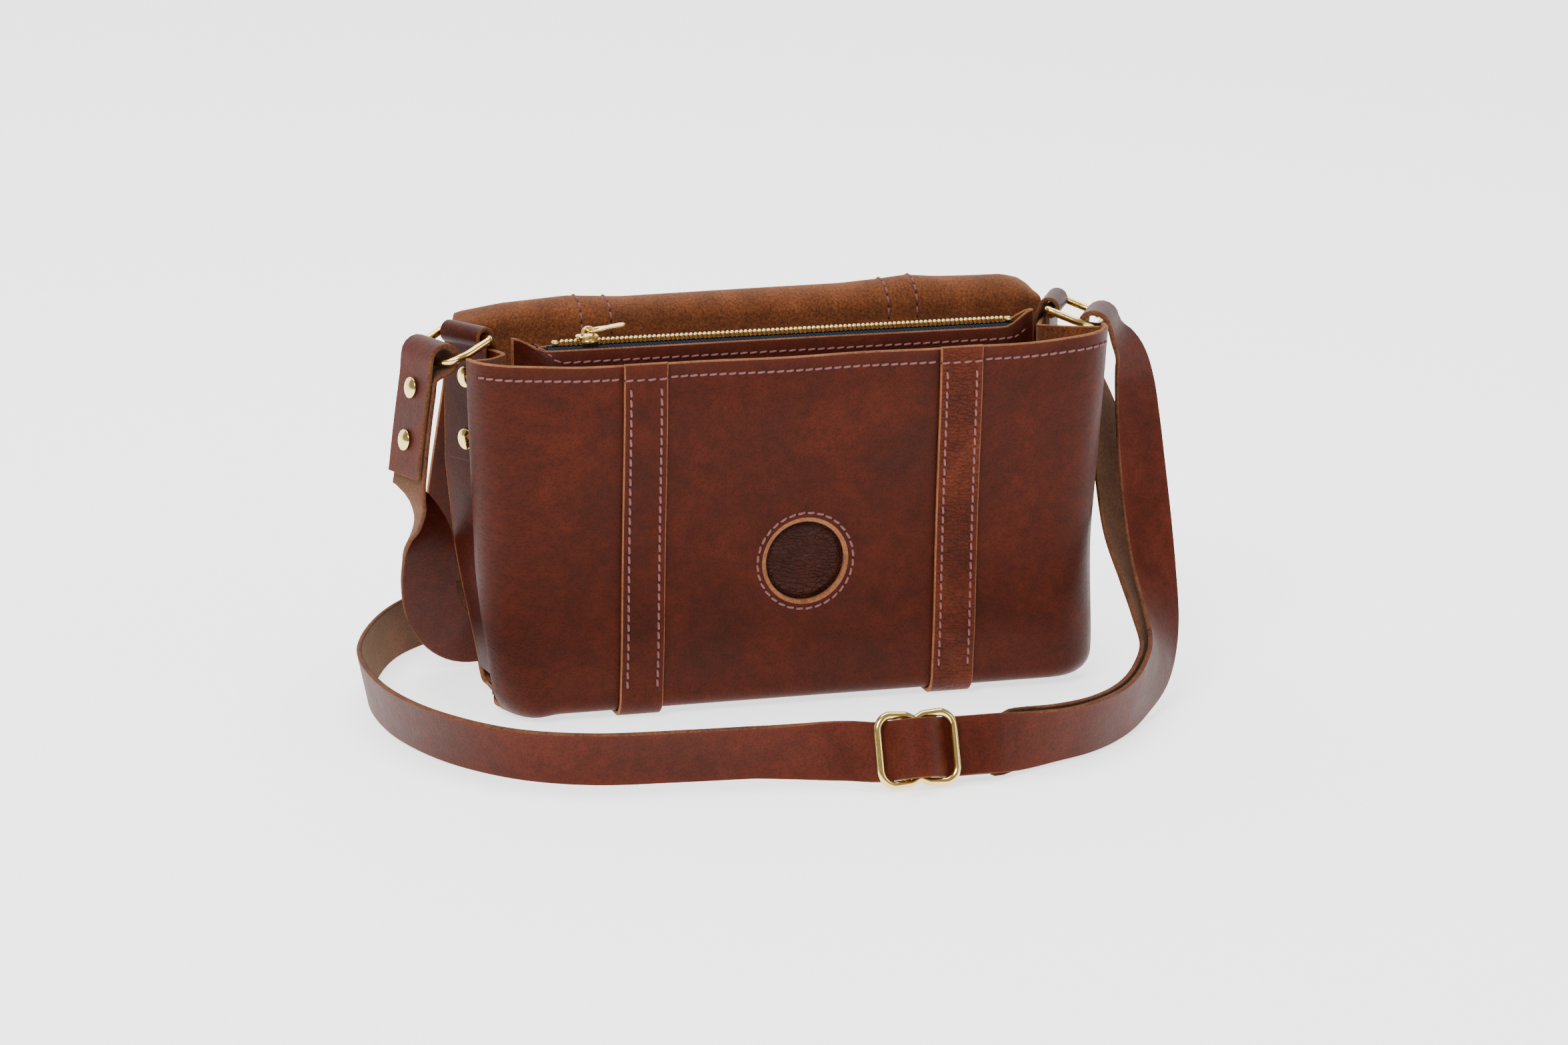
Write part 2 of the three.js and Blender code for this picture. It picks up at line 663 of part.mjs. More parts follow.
function addFlapTop(parent) {
  const archLength = THREE.MathUtils.degToRad(FLAP_ARCH_TURN) * FLAP_ARCH;
  const stops = [FLAP_GAP, FLAP_TOP_LENGTH - FLAP_GAP];
  const line = stops.map(hanging);
  const distances = stops.map((d) => archLength + d);
  add(parent, "flap_top", flapPiece(line, distances, LEATHER, flapHalfWidth), leather(SUEDE));
  for (const [side, name] of [[-1, "left"], [1, "right"]]) {
    addFlapBand(parent, side, `flap_top_band_${name}`, stops[0] + 1, stops[1] - 2);
  }
}

function flapMagnetPlace(out) {
  const line = offsetLine([hanging(0), hanging(FLAP_DROP - FLAP_MAGNET_INSET)], out);
  const along = line[1].clone().sub(line[0]).normalize();
  const normal = new THREE.Vector3(0, -along.y, along.x);
  return aimed(new THREE.Vector3(MAGNET_X, line[1].x, line[1].y), normal);
}

function addFlapFront(parent) {
  const archLength = THREE.MathUtils.degToRad(FLAP_ARCH_TURN) * FLAP_ARCH;
  const first = FLAP_TOP_LENGTH + FLAP_GAP;
  const rounding = [0, 30, 55, 75, 90].map((turn) => {
    return FLAP_DROP - FLAP_CORNER * (1 - Math.sin(THREE.MathUtils.degToRad(turn)));
  });
  const stops = [first, ...rounding];
  const distances = stops.map((d) => archLength + d);
  const panel = flapPiece(stops.map(hanging), distances, LEATHER, flapHalfWidth);
  add(parent, "flap_front", panel, leather(SUEDE));
  for (const [side, name] of [[-1, "left"], [1, "right"]]) {
    addFlapBand(parent, side, `flap_front_band_${name}`, first + 1, FLAP_DROP - 1);
  }
  const magnetOut = LEATHER / 2 + GAP + MAGNET_THICK / 2;
  const magnet = rod(MAGNET_RADIUS, MAGNET_THICK, 28).applyMatrix4(flapMagnetPlace(magnetOut));
  add(parent, "flap_magnet_disc", magnet, metal(0xb8bcc0, 0.35));
  const patch = cut(rod(MAGNET_COVER - 3, MAGNET_THICK + PATCH_LEATHER + GAP, 28), [
    rod(MAGNET_RADIUS + GAP, MAGNET_THICK + 2 * GAP, 28)
      .translate(0, -(PATCH_LEATHER + GAP) / 2 - GAP / 2, 0),
  ]);
  const patchOut = LEATHER / 2 + GAP + (MAGNET_THICK + PATCH_LEATHER + GAP) / 2;
  add(parent, "flap_magnet_patch", patch.applyMatrix4(flapMagnetPlace(patchOut)), leather(SUEDE));
}

// ---------------------------------------------------------------- strap

// Folds of the strap's two ends over the rings, in (distance outwards, height).
const END_FOLD = { u: -2.7, z: 157.8, radius: 6.7 };
const END_PLACE = new THREE.Vector3(-157.4, 8.2, 0);
const END_TURN = THREE.MathUtils.degToRad(12); // between the strap's end and the ring's bar
const LOOP_FOLD = { u: 20.8, z: 157, radius: 6.8 };

/** Frame of the left end: local x outwards, local y up, local z along its fold. */
function strapEndFrame() {
  const turn = new THREE.Matrix4().makeRotationZ(-END_TURN);
  return turn.multiply(ringFrame(-1)).setPosition(END_PLACE);
}

/** Left end: up the outside, over the ring and down inside, riveted to itself. */
function addStrapEnd(parent) {
  const line = [
    new THREE.Vector2(10.9, 106),
    new THREE.Vector2(9.0, 121),
    new THREE.Vector2(7.0, 135),
    new THREE.Vector2(5.7, 143.3),
    new THREE.Vector2(4.6, 151),
    ...arc(new THREE.Vector2(END_FOLD.u, END_FOLD.z), END_FOLD.radius, 0, 180, 8),
    new THREE.Vector2(-8.0, 154.6),
    new THREE.Vector2(-4.5, 152.2),
    new THREE.Vector2(-0.5, 151),
    new THREE.Vector2(1.7, 149.8),
    new THREE.Vector2(2.9, 143),
    new THREE.Vector2(4.2, 135),
    new THREE.Vector2(6.2, 121),
    new THREE.Vector2(8.1, 105.2),
  ];
  const frame = strapEndFrame();
  const along = line[0].clone().sub(line[3]).normalize();
  const across = new THREE.Vector3(along.y, -along.x, 0).transformDirection(frame);
  const places = [[4.1, 144.5], [7.5, 121.5]].map(([u, z]) => {
    return aimed(new THREE.Vector3(u, z, 0).applyMatrix4(frame), across);
  });
  const fold = extrude(thickLine(line, LEATHER), STRAP_WIDTH).translate(0, 0, -STRAP_WIDTH / 2);
  const holes = places.map((place) => rod(RIVET_HOLE, 14, 12).applyMatrix4(place));
  add(parent, "strap_end", cut(fold.applyMatrix4(frame), holes), leather(GRAIN));
  places.forEach((place, i) => {
    const label = `strap_rivet_${["upper", "lower"][i]}`;
    add(parent, label, rivetShape(2 * LEATHER + 1.7).applyMatrix4(place), metal(BRASS, 0.25));
  });
}

/** Right end: over the ring and down on both sides, to where the two layers leave it. */
function addStrapLoop(parent) {
  const line = [
    ...arc(new THREE.Vector2(LOOP_FOLD.u, LOOP_FOLD.z), LOOP_FOLD.radius, 26, 180, 8),
    new THREE.Vector2(13.9, 150),
  ];
  const loop = extrude(thickLine(line, LEATHER), STRAP_WIDTH).translate(0, 0, -STRAP_WIDTH / 2);
  add(parent, "strap_loop", loop.applyMatrix4(ringFrame(1)), leather(GRAIN));
}

/** Point in a ring's or strap end's frame, as a list of coordinates. */
function placed(frame, u, z) {
  return new THREE.Vector3(u, z, 0).applyMatrix4(frame).toArray();
}

const endAcross = new THREE.Vector3(0, 0, 1).transformDirection(strapEndFrame()).toArray();
const loopAcross = ringAxis(1).negate().toArray();

// Each strap route lists the middle of the strap and the direction across it, from the lower edge
// of the strap where it lies on the ground to its upper edge.

const HANG_ROUTE = [
  { at: placed(strapEndFrame(), 8.3, 103.6), across: endAcross },
  { at: placed(strapEndFrame(), 8.6, 98.5), across: endAcross },
  { at: [-163, 9.6, 92], across: [0.15, 0.98, 0] },
  { at: [-159.8, 14.5, 86], across: [0.48, 0.87, 0] },
  { at: [-156, 21.5, 76.7], across: [0.75, 0.66, 0] },
  { at: [-152.2, 30, 66], across: [0.93, 0.36, 0.05] },
  { at: [-150, 40, 50], across: [0.97, 0.1, 0.2] },
  { at: [-145.5, 50, 33.5], across: [0.87, -0.15, 0.45] },
  { at: [-137, 58.3, 20.5], across: [0.6, -0.25, 0.76] },
  { at: [-129, 63.2, 15.6], across: [0.3, -0.15, 0.95] },
  { at: [-123.5, 65.2, 14.6], across: [0.2, -0.08, 0.98] },
];

const FLOOR_ROUTE = [
  { at: [-120, 66.5, 14.3], across: [0.18, -0.08, 0.98] },
  { at: [-102, 73, 13.3], across: [0.05, 0, 1] },
  { at: [-82, 81, 13], across: [0, 0, 1] },
  { at: [-68, 93, 13], across: [0, 0, 1] },
  { at: [-66, 108, 13], across: [0, 0, 1] },
  { at: [-77, 121, 13], across: [0, 0, 1] },
  { at: [-96, 126, 13], across: [0, 0, 1] },
  { at: [-116, 122, 13], across: [0, 0, 1] },
  { at: [-135, 110, 13], across: [0, 0, 1] },
  { at: [-153, 91, 13], across: [0, 0, 1] },
  { at: [-171, 58, 13], across: [-0.1, 0, 1] },
  { at: [-184, 18, 13], across: [-0.2, 0, 1] },
  { at: [-187, -22, 13], across: [-0.25, 0, 1] },
  { at: [-183, -56, 13], across: [-0.28, -0.1, 1] },
  { at: [-170, -92, 13], across: [-0.25, -0.2, 1] },
  { at: [-148, -121, 13], across: [-0.2, -0.28, 1] },
  { at: [-120, -136, 13], across: [-0.1, -0.3, 1] },
  { at: [-82, -142, 13], across: [0, -0.3, 1] },
  { at: [-51, -145.4, 13.2], across: [0, -0.28, 1] },
];

// The slider leans back against the strap. Along it, the strap passes behind the outer bars and in
// front of the middle bar, and the strap's narrowed end is folded round the middle bar under it.
const SLIDER_MIDDLE = new THREE.Vector3(12.5, -169, 16.6);
const SLIDER_LEAN = THREE.MathUtils.degToRad(-20);
const SLIDER_HALF_WIDTH = 16.8;
const SLIDER_HALF_HEIGHT = 14.8;
const SLIDER_ROUND = 6.5;
const SLIDER_PINCH = 2.6;
const BEHIND_BAR = WIRE + LEATHER / 2 + 0.9;
const FOLD_RADIUS = WIRE + GAP + LEATHER / 2;
const OVER_FOLD = FOLD_RADIUS + LEATHER + 2 * GAP;
const ANCHOR_WIDTH = 20.4;

function sliderFrame() {
  const lean = new THREE.Matrix4().makeRotationX(SLIDER_LEAN);
  return lean.setPosition(SLIDER_MIDDLE);
}

/** Strap station in the slider's frame: distance along the strap and distance behind the bars. */
function atSlider(along, behind) {
  const point = new THREE.Vector3(along, behind, 0).applyMatrix4(sliderFrame());
  return { at: point.toArray(), across: [0, -Math.sin(SLIDER_LEAN), Math.cos(SLIDER_LEAN)] };
}

const WEAVE_ROUTE = [
  { at: [-49.6, -145.7, 13.2], across: [0, -0.28, 1] },
  { at: [-30, -151, 13.6], across: [0, -0.1, 1] },
  { at: [-15, -158.5, 14.8], across: [0, 0.2, 1] },
  atSlider(-SLIDER_HALF_WIDTH, BEHIND_BAR),
  atSlider(-13, BEHIND_BAR - 0.9),
  atSlider(-8.5, -1.5),
  atSlider(-4, -OVER_FOLD + 0.5),
  atSlider(0, -OVER_FOLD),
  atSlider(4, -OVER_FOLD + 0.5),
  atSlider(8.5, -1.5),
  atSlider(13, BEHIND_BAR - 0.9),
  atSlider(SLIDER_HALF_WIDTH, BEHIND_BAR),
  atSlider(34, BEHIND_BAR - 0.4),
  { at: [58, -162.5, 14.4], across: [0, 0.05, 1] },
];

const RISE_ROUTE = [
  { at: [59.6, -162.2, 14.3], across: [0, 0.03, 1] },
  { at: [80, -155.5, 13.4], across: [0, -0.26, 1] },
  { at: [100, -145.5, 13.2], across: [0, -0.28, 1] },
  { at: [120, -128.5, 13.6], across: [-0.05, -0.28, 0.96] },
  { at: [138, -106, 16], across: [-0.2, -0.3, 0.93] },
  { at: [153, -84, 23], across: [-0.5, -0.35, 0.79] },
  { at: [161.5, -62, 37], across: [-0.8, -0.38, 0.46] },
  { at: [165.3, -41, 58], across: [-0.93, -0.32, 0.14] },
  { at: [168, -25, 79], across: [-0.95, -0.3, 0] },
  { at: [169.4, -14, 98], across: [-0.95, -0.31, 0] },
  { at: [170.3, -5, 117.6], across: [-0.92, -0.39, 0] },
  { at: [170.3, 0, 131.6], across: [-0.87, -0.49, 0] },
  { at: [168.2, 1.6, 143], across: [-0.76, -0.65, 0] },
  { at: placed(ringFrame(1), 31, 151.5), across: [-0.6, -0.8, 0] },
  { at: placed(ringFrame(1), 28.6, 155.8), across: loopAcross },
  { at: placed(ringFrame(1), 27.4, 158.3), across: loopAcross },
];

const RETURN_ROUTE = [
  { at: placed(ringFrame(1), 13.9, 149.6), across: loopAcross },
  { at: placed(ringFrame(1), 14.4, 144.5), across: loopAcross },
  { at: [152.5, 9, 134], across: [-0.55, -0.83, 0] },
  { at: [155.5, 4, 120], across: [-0.72, -0.69, 0] },
  { at: [158.5, -5, 98], across: [-0.86, -0.51, 0] },
  { at: [158.5, -23, 67], across: [-0.9, -0.42, 0.1] },
  { at: [155.5, -42, 42], across: [-0.8, -0.38, 0.46] },
  { at: [147.5, -62, 26], across: [-0.5, -0.35, 0.79] },
  { at: [135, -90, 17], across: [-0.2, -0.3, 0.93] },
  { at: [117, -114, 13.8], across: [-0.05, -0.28, 0.96] },
  { at: [96, -132.5, 13.4], across: [0, -0.28, 1] },
  { at: [77, -143.5, 13.6], across: [0, -0.22, 1] },
  { at: [60, -151, 14.4], across: [0, 0.05, 1] },
  atSlider(43, 12.4),
  atSlider(36, 12.4),
];

function addStrapStretches(parent) {
  add(parent, "strap_hang", ribbon(HANG_ROUTE, 20, STRAP_WIDTH), leather(GRAIN));
  add(parent, "strap_floor", ribbon(FLOOR_ROUTE, 60, STRAP_WIDTH), leather(GRAIN));
  add(parent, "strap_weave", ribbon(WEAVE_ROUTE, 32, STRAP_WIDTH), leather(GRAIN));
  add(parent, "strap_rise", ribbon(RISE_ROUTE, 40, STRAP_WIDTH), leather(GRAIN));
  add(parent, "strap_return", ribbon(RETURN_ROUTE, 44, STRAP_WIDTH), leather(SUEDE));
}

/** Slider: two rounded loops side by side that share a middle bar. */
function addStrapSlider(parent) {
  const corner = (sx, sy, from, to) => arc(
    new THREE.Vector2(
      sx * (SLIDER_HALF_WIDTH - SLIDER_ROUND),
      sy * (SLIDER_HALF_HEIGHT - SLIDER_ROUND),
    ),
    SLIDER_ROUND,
    from,
    to,
    4,
  );
  const pinch = (side) => [4, 0, -4].map((x) => {
    const dip = x === 0 ? SLIDER_PINCH : 0.6;
    return new THREE.Vector2(side * x, side * (dip - SLIDER_HALF_HEIGHT));
  });
  const outline = [
    ...corner(1, 1, 80, 0),
    ...corner(1, -1, 0, -80),
    ...pinch(1),
    ...corner(-1, -1, 260, 180),
    ...corner(-1, 1, 180, 100),
    ...pinch(-1),
  ];
  const loop = wireLoop(outline.map((p) => new THREE.Vector3(p.x, 0, p.y)), WIRE, 64);
  const bar = rod(WIRE, 2 * (SLIDER_HALF_HEIGHT - SLIDER_PINCH), 10).rotateX(Math.PI / 2);
  add(parent, "strap_slider", joined([loop, bar]).applyMatrix4(sliderFrame()), metal(BRASS, 0.2));
}

/** The strap's fixed end: folded round the slider's middle bar and riveted behind the strap. */
function addStrapAnchor(parent) {
  const line = [
    new THREE.Vector2(37, 9.6),
    new THREE.Vector2(21.5, 9.4),
    new THREE.Vector2(13.4, 7.3),
    new THREE.Vector2(8.4, 2.6),
    ...arc(new THREE.Vector2(0, 0), FOLD_RADIUS, -50, -270, 8),
    new THREE.Vector2(4.4, 3.9),
    new THREE.Vector2(9, 9),
    new THREE.Vector2(14, 11.4),
    new THREE.Vector2(22, 12.3),
    new THREE.Vector2(35, 12.4),
  ];
  const place = aimed(new THREE.Vector3(29, 11, 0), new THREE.Vector3(0, 1, 0));
  const fold = extrude(thickLine(line, LEATHER), ANCHOR_WIDTH).translate(0, 0, -ANCHOR_WIDTH / 2);
  const anchor = cut(fold, [rod(RIVET_HOLE, 14, 12).applyMatrix4(place)]);
  add(parent, "strap_anchor", anchor.applyMatrix4(sliderFrame()), leather(GRAIN));
  const rivet = rivetShape(2 * LEATHER + 1.2).applyMatrix4(place).applyMatrix4(sliderFrame());
  add(parent, "strap_rivet_anchor", rivet, metal(BRASS, 0.25));
}

// ---------------------------------------------------------------- the purse

addWrap(group);
addFrontMagnet(group);
addBands(group);
addPouch(group);
for (const [side, name] of [[-1, "left"], [1, "right"]]) {
  addGusset(group, side, `gusset_${name}`);
  addTab(group, side, `ring_tab_${name}`);
  addTabRivets(group, side, `tab_rivet_${name}`);
  addRing(group, side, `d_ring_${name}`);
}
addSlider(group);
addPull(group);
addFlapFold(group, "flap_fold_lower", 180, archMiddle);
addFlapFold(group, "flap_fold_upper", archMiddle, archEnd);
addFlapTop(group);
addFlapFront(group);
addStrapEnd(group);
addStrapLoop(group);
addStrapStretches(group);
addStrapSlider(group);
addStrapAnchor(group);

// The strap lies mostly in front, so the middle of the whole object is not the middle of the bag.
group.position.copy(ORIGIN_SHIFT);

export default group;
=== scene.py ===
"""Looks of the crossbody purse: detailed leather, stitching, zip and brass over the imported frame.

Lengths in this file are in millimetres until a mesh is made, which is in metres like the frame.
"""
import math

import bmesh
import bpy
import numpy as np
from mathutils import Matrix, Vector, kdtree


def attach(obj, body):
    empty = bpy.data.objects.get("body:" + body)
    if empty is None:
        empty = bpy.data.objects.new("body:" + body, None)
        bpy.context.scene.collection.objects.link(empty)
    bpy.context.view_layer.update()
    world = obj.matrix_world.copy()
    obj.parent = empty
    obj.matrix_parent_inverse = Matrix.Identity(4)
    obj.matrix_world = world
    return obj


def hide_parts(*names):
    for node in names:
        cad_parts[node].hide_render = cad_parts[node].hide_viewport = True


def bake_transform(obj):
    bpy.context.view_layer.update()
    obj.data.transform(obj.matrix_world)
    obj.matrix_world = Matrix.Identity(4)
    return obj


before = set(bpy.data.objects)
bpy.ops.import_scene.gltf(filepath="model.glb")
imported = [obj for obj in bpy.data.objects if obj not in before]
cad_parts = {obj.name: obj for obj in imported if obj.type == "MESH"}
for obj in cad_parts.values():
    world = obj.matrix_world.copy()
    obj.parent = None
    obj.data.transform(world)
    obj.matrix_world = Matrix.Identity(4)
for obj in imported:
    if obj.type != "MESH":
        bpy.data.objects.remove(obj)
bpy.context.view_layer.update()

MM = 0.001
SHIFT = np.array((4.0, 10.0, 0.0))  # from the middle of the bag, used below, to the frame's origin

# ---------------------------------------------------------------- sizes shared with the CAD, mm

LEATHER = 2.4
BAND_LEATHER = 2.2
GUSSET_LEATHER = 2.2
TAB_LEATHER = 2.0
POUCH_LEATHER = 1.6
GAP = 0.3

FRONT_HEIGHT = 160.0
BACK_HEIGHT = 157.5
BOTTOM_LIFT = BAND_LEATHER + GAP
BOTTOM_HALF_DEPTH = 36.0
BOTTOM_ROUND = 7.0
FRONT_LEAN = 8.0
BACK_LEAN = 3.5
FRONT_CORNER = 20.0
BACK_CORNER = 4.0
TAPER_HEIGHT = 105.0
GUSSET_FOOT = 9.5
GUSSET_TOP = 159.5

BAND_X = 72.0
BAND_WIDTH = 19.5
BAND_ACROSS = (-1, -0.94, -0.84, -0.5, 0, 0.5, 0.84, 0.94, 1)  # shares of half its width
BAND_THREADS = (-0.70, 0.70)
BAND_ABOVE = 0.9
MAGNET = (2.5, 67.0)
MAGNET_HOLE = 18.0
MAGNET_COVER = 1.2
MAGNET_DISC = 2.4

ZIP_FROM = -99.0
ZIP_TO = 107.0
ZIP_TOP = 163.6

WIRE = 1.75
RING = (136.677, 17.287, 165.0)
RING_SPLAY = math.radians(28.85)
RING_DROOP = math.radians(20)
RING_HALF_WIDTH = 15.6
RING_DEPTH = 24.0
RING_ROUND = 11.0
ROLL = 4.0
ROLL_OUT = 3.2
TAB_WIDTH = 24.6
TAB_FOOT = 108.0
TAB_RIVETS = (146.0, 118.0)

RIVET_CAP = 4.75
STRAP_WIDTH = 25.4
END_PLACE = (-157.4, 8.2)
END_TURN = math.radians(12)
SLIDER_MIDDLE = (12.5, -169, 16.6)
SLIDER_LEAN = math.radians(-20)

HINGE = (39.5, 160.0)
ARCH = 12.0
ARCH_TURN = 150.0
FLAP_DROP = 189.0
FLAP_TOP_LENGTH = 66.0
FLAP_CORNER = 24.0

STITCH_PITCH = 4.3
EDGE_ROUND = 0.45

# ---------------------------------------------------------------- small maths


def mix(a, b, t):
    """Value a share t of the way from a to b."""
    return a + (b - a) * t


def smooth(t):
    """Smooth step: 0 up to 0, 1 from 1."""
    t = min(max(t, 0.0), 1.0)
    return t * t * (3 - 2 * t)


def ripple(x, y, seed):
    """Slow waviness between about -1 and 1, the same on every run."""
    a = math.sin(x * 0.031 + seed * 1.7 + 1.3 * math.sin(y * 0.021 + seed))
    b = math.sin(y * 0.043 - seed * 2.3 + 1.1 * math.sin(x * 0.017 - seed))
    return 0.5 * (a + b)


def arc(cx, cy, radius, start, stop, steps):
    """Points of an arc in a plane, both ends included; angles in degrees."""
    out = []
    for i in range(steps + 1):
        a = math.radians(mix(start, stop, i / steps))
        out.append((cx + radius * math.cos(a), cy + radius * math.sin(a)))
    return out


def unit(rows):
    """Vectors of length 1, for one vector or rows of them."""
    rows = np.asarray(rows, float)
    return rows / np.maximum(np.linalg.norm(rows, axis=-1, keepdims=True), 1e-9)


def lengths(line):
    """Running length along a polyline."""
    line = np.asarray(line, float)
    steps = np.linalg.norm(np.diff(line, axis=0), axis=1)
    return np.concatenate([[0.0], np.cumsum(steps)])


def resample(line, count=None, step=None):
    """The polyline with evenly spaced points."""
    line = np.asarray(line, float)
    run = lengths(line)
    if count is None:
        count = max(int(round(run[-1] / step)), 1) + 1
    at = np.linspace(0, run[-1], count)
    return np.stack([np.interp(at, run, line[:, k]) for k in range(line.shape[1])], axis=1)


def spline_knots(points):
    """Centripetal knots: each step is the square root of the chord."""
    knots = [0.0]
    for a, b in zip(points, points[1:]):
        knots.append(knots[-1] + max(math.sqrt(math.dist(a, b)), 1e-3))
    return knots


def spline_at(points, knots, t):
    """Catmull-Rom point at t, between the second and third of four points."""
    layer = list(points)
    for offset, reach in ((0, 1), (0, 2), (1, 1)):
        blended = []
        for j in range(len(layer) - 1):
            low, high = knots[j + offset], knots[j + offset + reach]
            blended.append(((high - t) * layer[j] + (t - low) * layer[j + 1]) / (high - low))
        layer = blended
    return layer[0]


def with_ends(points):
    """The points with one more before and after, so that a spline reaches both ends."""
    p = np.asarray(points, float)
    return np.vstack([2 * p[0] - p[1], p, 2 * p[-1] - p[-2]])


def curve_through(points, count):
    """Smooth curve through the points, evenly resampled."""
    p = with_ends(points)
    out = []
    for i in range(1, len(p) - 2):
        four = p[i - 1:i + 3]
        knots = spline_knots(four)
        for t in np.linspace(knots[1], knots[2], 16, endpoint=False):
            out.append(spline_at(four, knots, t))
    out.append(p[-2])
    return resample(out, count=count)


def matrix_of(axes, origin):
    """Matrix whose columns are three axes and an origin."""
    matrix = Matrix.Identity(4)
    for column, axis in enumerate(axes):
        for row in range(3):
            matrix[row][column] = axis[row]
    matrix.translation = Vector(origin)
    return matrix


def edged(start, stop, step, rim=(0.6, 1.6, 3.2)):
    """Values from start to stop, with extra ones just inside both ends."""
    size = abs(stop - start)
    sign = 1 if stop > start else -1
    inner = [r for r in rim if r < size / 2 - 0.4]
    edge = inner[-1] if inner else 0
    count = max(int(round((size - 2 * edge) / step)), 1)
    middle = [edge + (size - 2 * edge) * i / count for i in range(count + 1)]
    near = [0.0] + inner[:-1]
    far = [size - r for r in reversed(near)]
    return [start + sign * v for v in near + middle + far]


# ---------------------------------------------------------------- materials


class Nodes:
    """Small helper that adds nodes to a material and links them."""

    def __init__(self, name):
        self.material = bpy.data.materials.new(name)
        self.material.use_nodes = True
        self.tree = self.material.node_tree
        self.tree.nodes.clear()
        self.out = self.add("ShaderNodeOutputMaterial")
        self.shader = self.add("ShaderNodeBsdfPrincipled")
        self.link(self.shader.outputs[0], self.out.inputs[0])

    def add(self, kind, **settings):
        node = self.tree.nodes.new(kind)
        for key, value in settings.items():
            setattr(node, key, value)
        return node

    def link(self, source, target):
        self.tree.links.new(source, target)

    def plain(self, **values):
        for key, value in values.items():
            self.shader.inputs[key.replace("_", " ")].default_value = value

    def coordinates(self, output, scale):
        coord = self.add("ShaderNodeTexCoord")
        mapping = self.add("ShaderNodeMapping")
        mapping.inputs["Scale"].default_value = scale
        self.link(coord.outputs[output], mapping.inputs["Vector"])
        return mapping.outputs[0]

    def uv(self, scale=(1, 1, 1)):
        return self.coordinates("UV", scale)

    def place(self, scale=(1, 1, 1)):
        return self.coordinates("Object", scale)

    def noise(self, vector, scale, detail=4.0, rough=0.55, distortion=0.0):
        node = self.add("ShaderNodeTexNoise")
        node.inputs["Scale"].default_value = scale
        node.inputs["Detail"].default_value = detail
        node.inputs["Roughness"].default_value = rough
        node.inputs["Distortion"].default_value = distortion
        self.link(vector, node.inputs["Vector"])
        return node.outputs["Fac"]

    def cells(self, vector, scale, feature="F1"):
        node = self.add("ShaderNodeTexVoronoi", feature=feature)
        node.inputs["Scale"].default_value = scale
        self.link(vector, node.inputs["Vector"])
        return node.outputs["Distance"]

    def ramp(self, source, stops):
        node = self.add("ShaderNodeValToRGB")
        elements = node.color_ramp.elements
        while len(elements) < len(stops):
            elements.new(0.5)
        for element, (at, value) in zip(elements, stops):
            element.position = at
            colour = value if isinstance(value, tuple) else (value, value, value)
            element.color = (*colour, 1)
        self.link(source, node.inputs[0])
        return node.outputs[0]

    def blend(self, kind, factor, a, b):
        node = self.add("ShaderNodeMix", data_type="RGBA", blend_type=kind)
        for socket, value in ((node.inputs[0], factor), (node.inputs[6], a), (node.inputs[7], b)):
            if isinstance(value, (int, float)):
                socket.default_value = value
            elif isinstance(value, tuple):
                socket.default_value = (*value, 1)
            else:
                self.link(value, socket)
        return node.outputs[2]

    def math(self, operation, a, b=0.0):
        node = self.add("ShaderNodeMath", operation=operation)
        for socket, value in zip(node.inputs, (a, b)):
            if isinstance(value, (int, float)):
                socket.default_value = value
            else:
                self.link(value, socket)
        return node.outputs[0]

    def attribute(self, name):
        node = self.add("ShaderNodeAttribute", attribute_name=name)
        return node.outputs["Fac"]

    def bump(self, height, strength, distance, below=None):
        node = self.add("ShaderNodeBump")
        node.inputs["Strength"].default_value = strength
        node.inputs["Distance"].default_value = distance * MM
        self.link(height, node.inputs["Height"])
        if below is not None:
            self.link(below, node.inputs["Normal"])
        return node.outputs[0]


UV_UNIT = 0.01  # UV units per millimetre


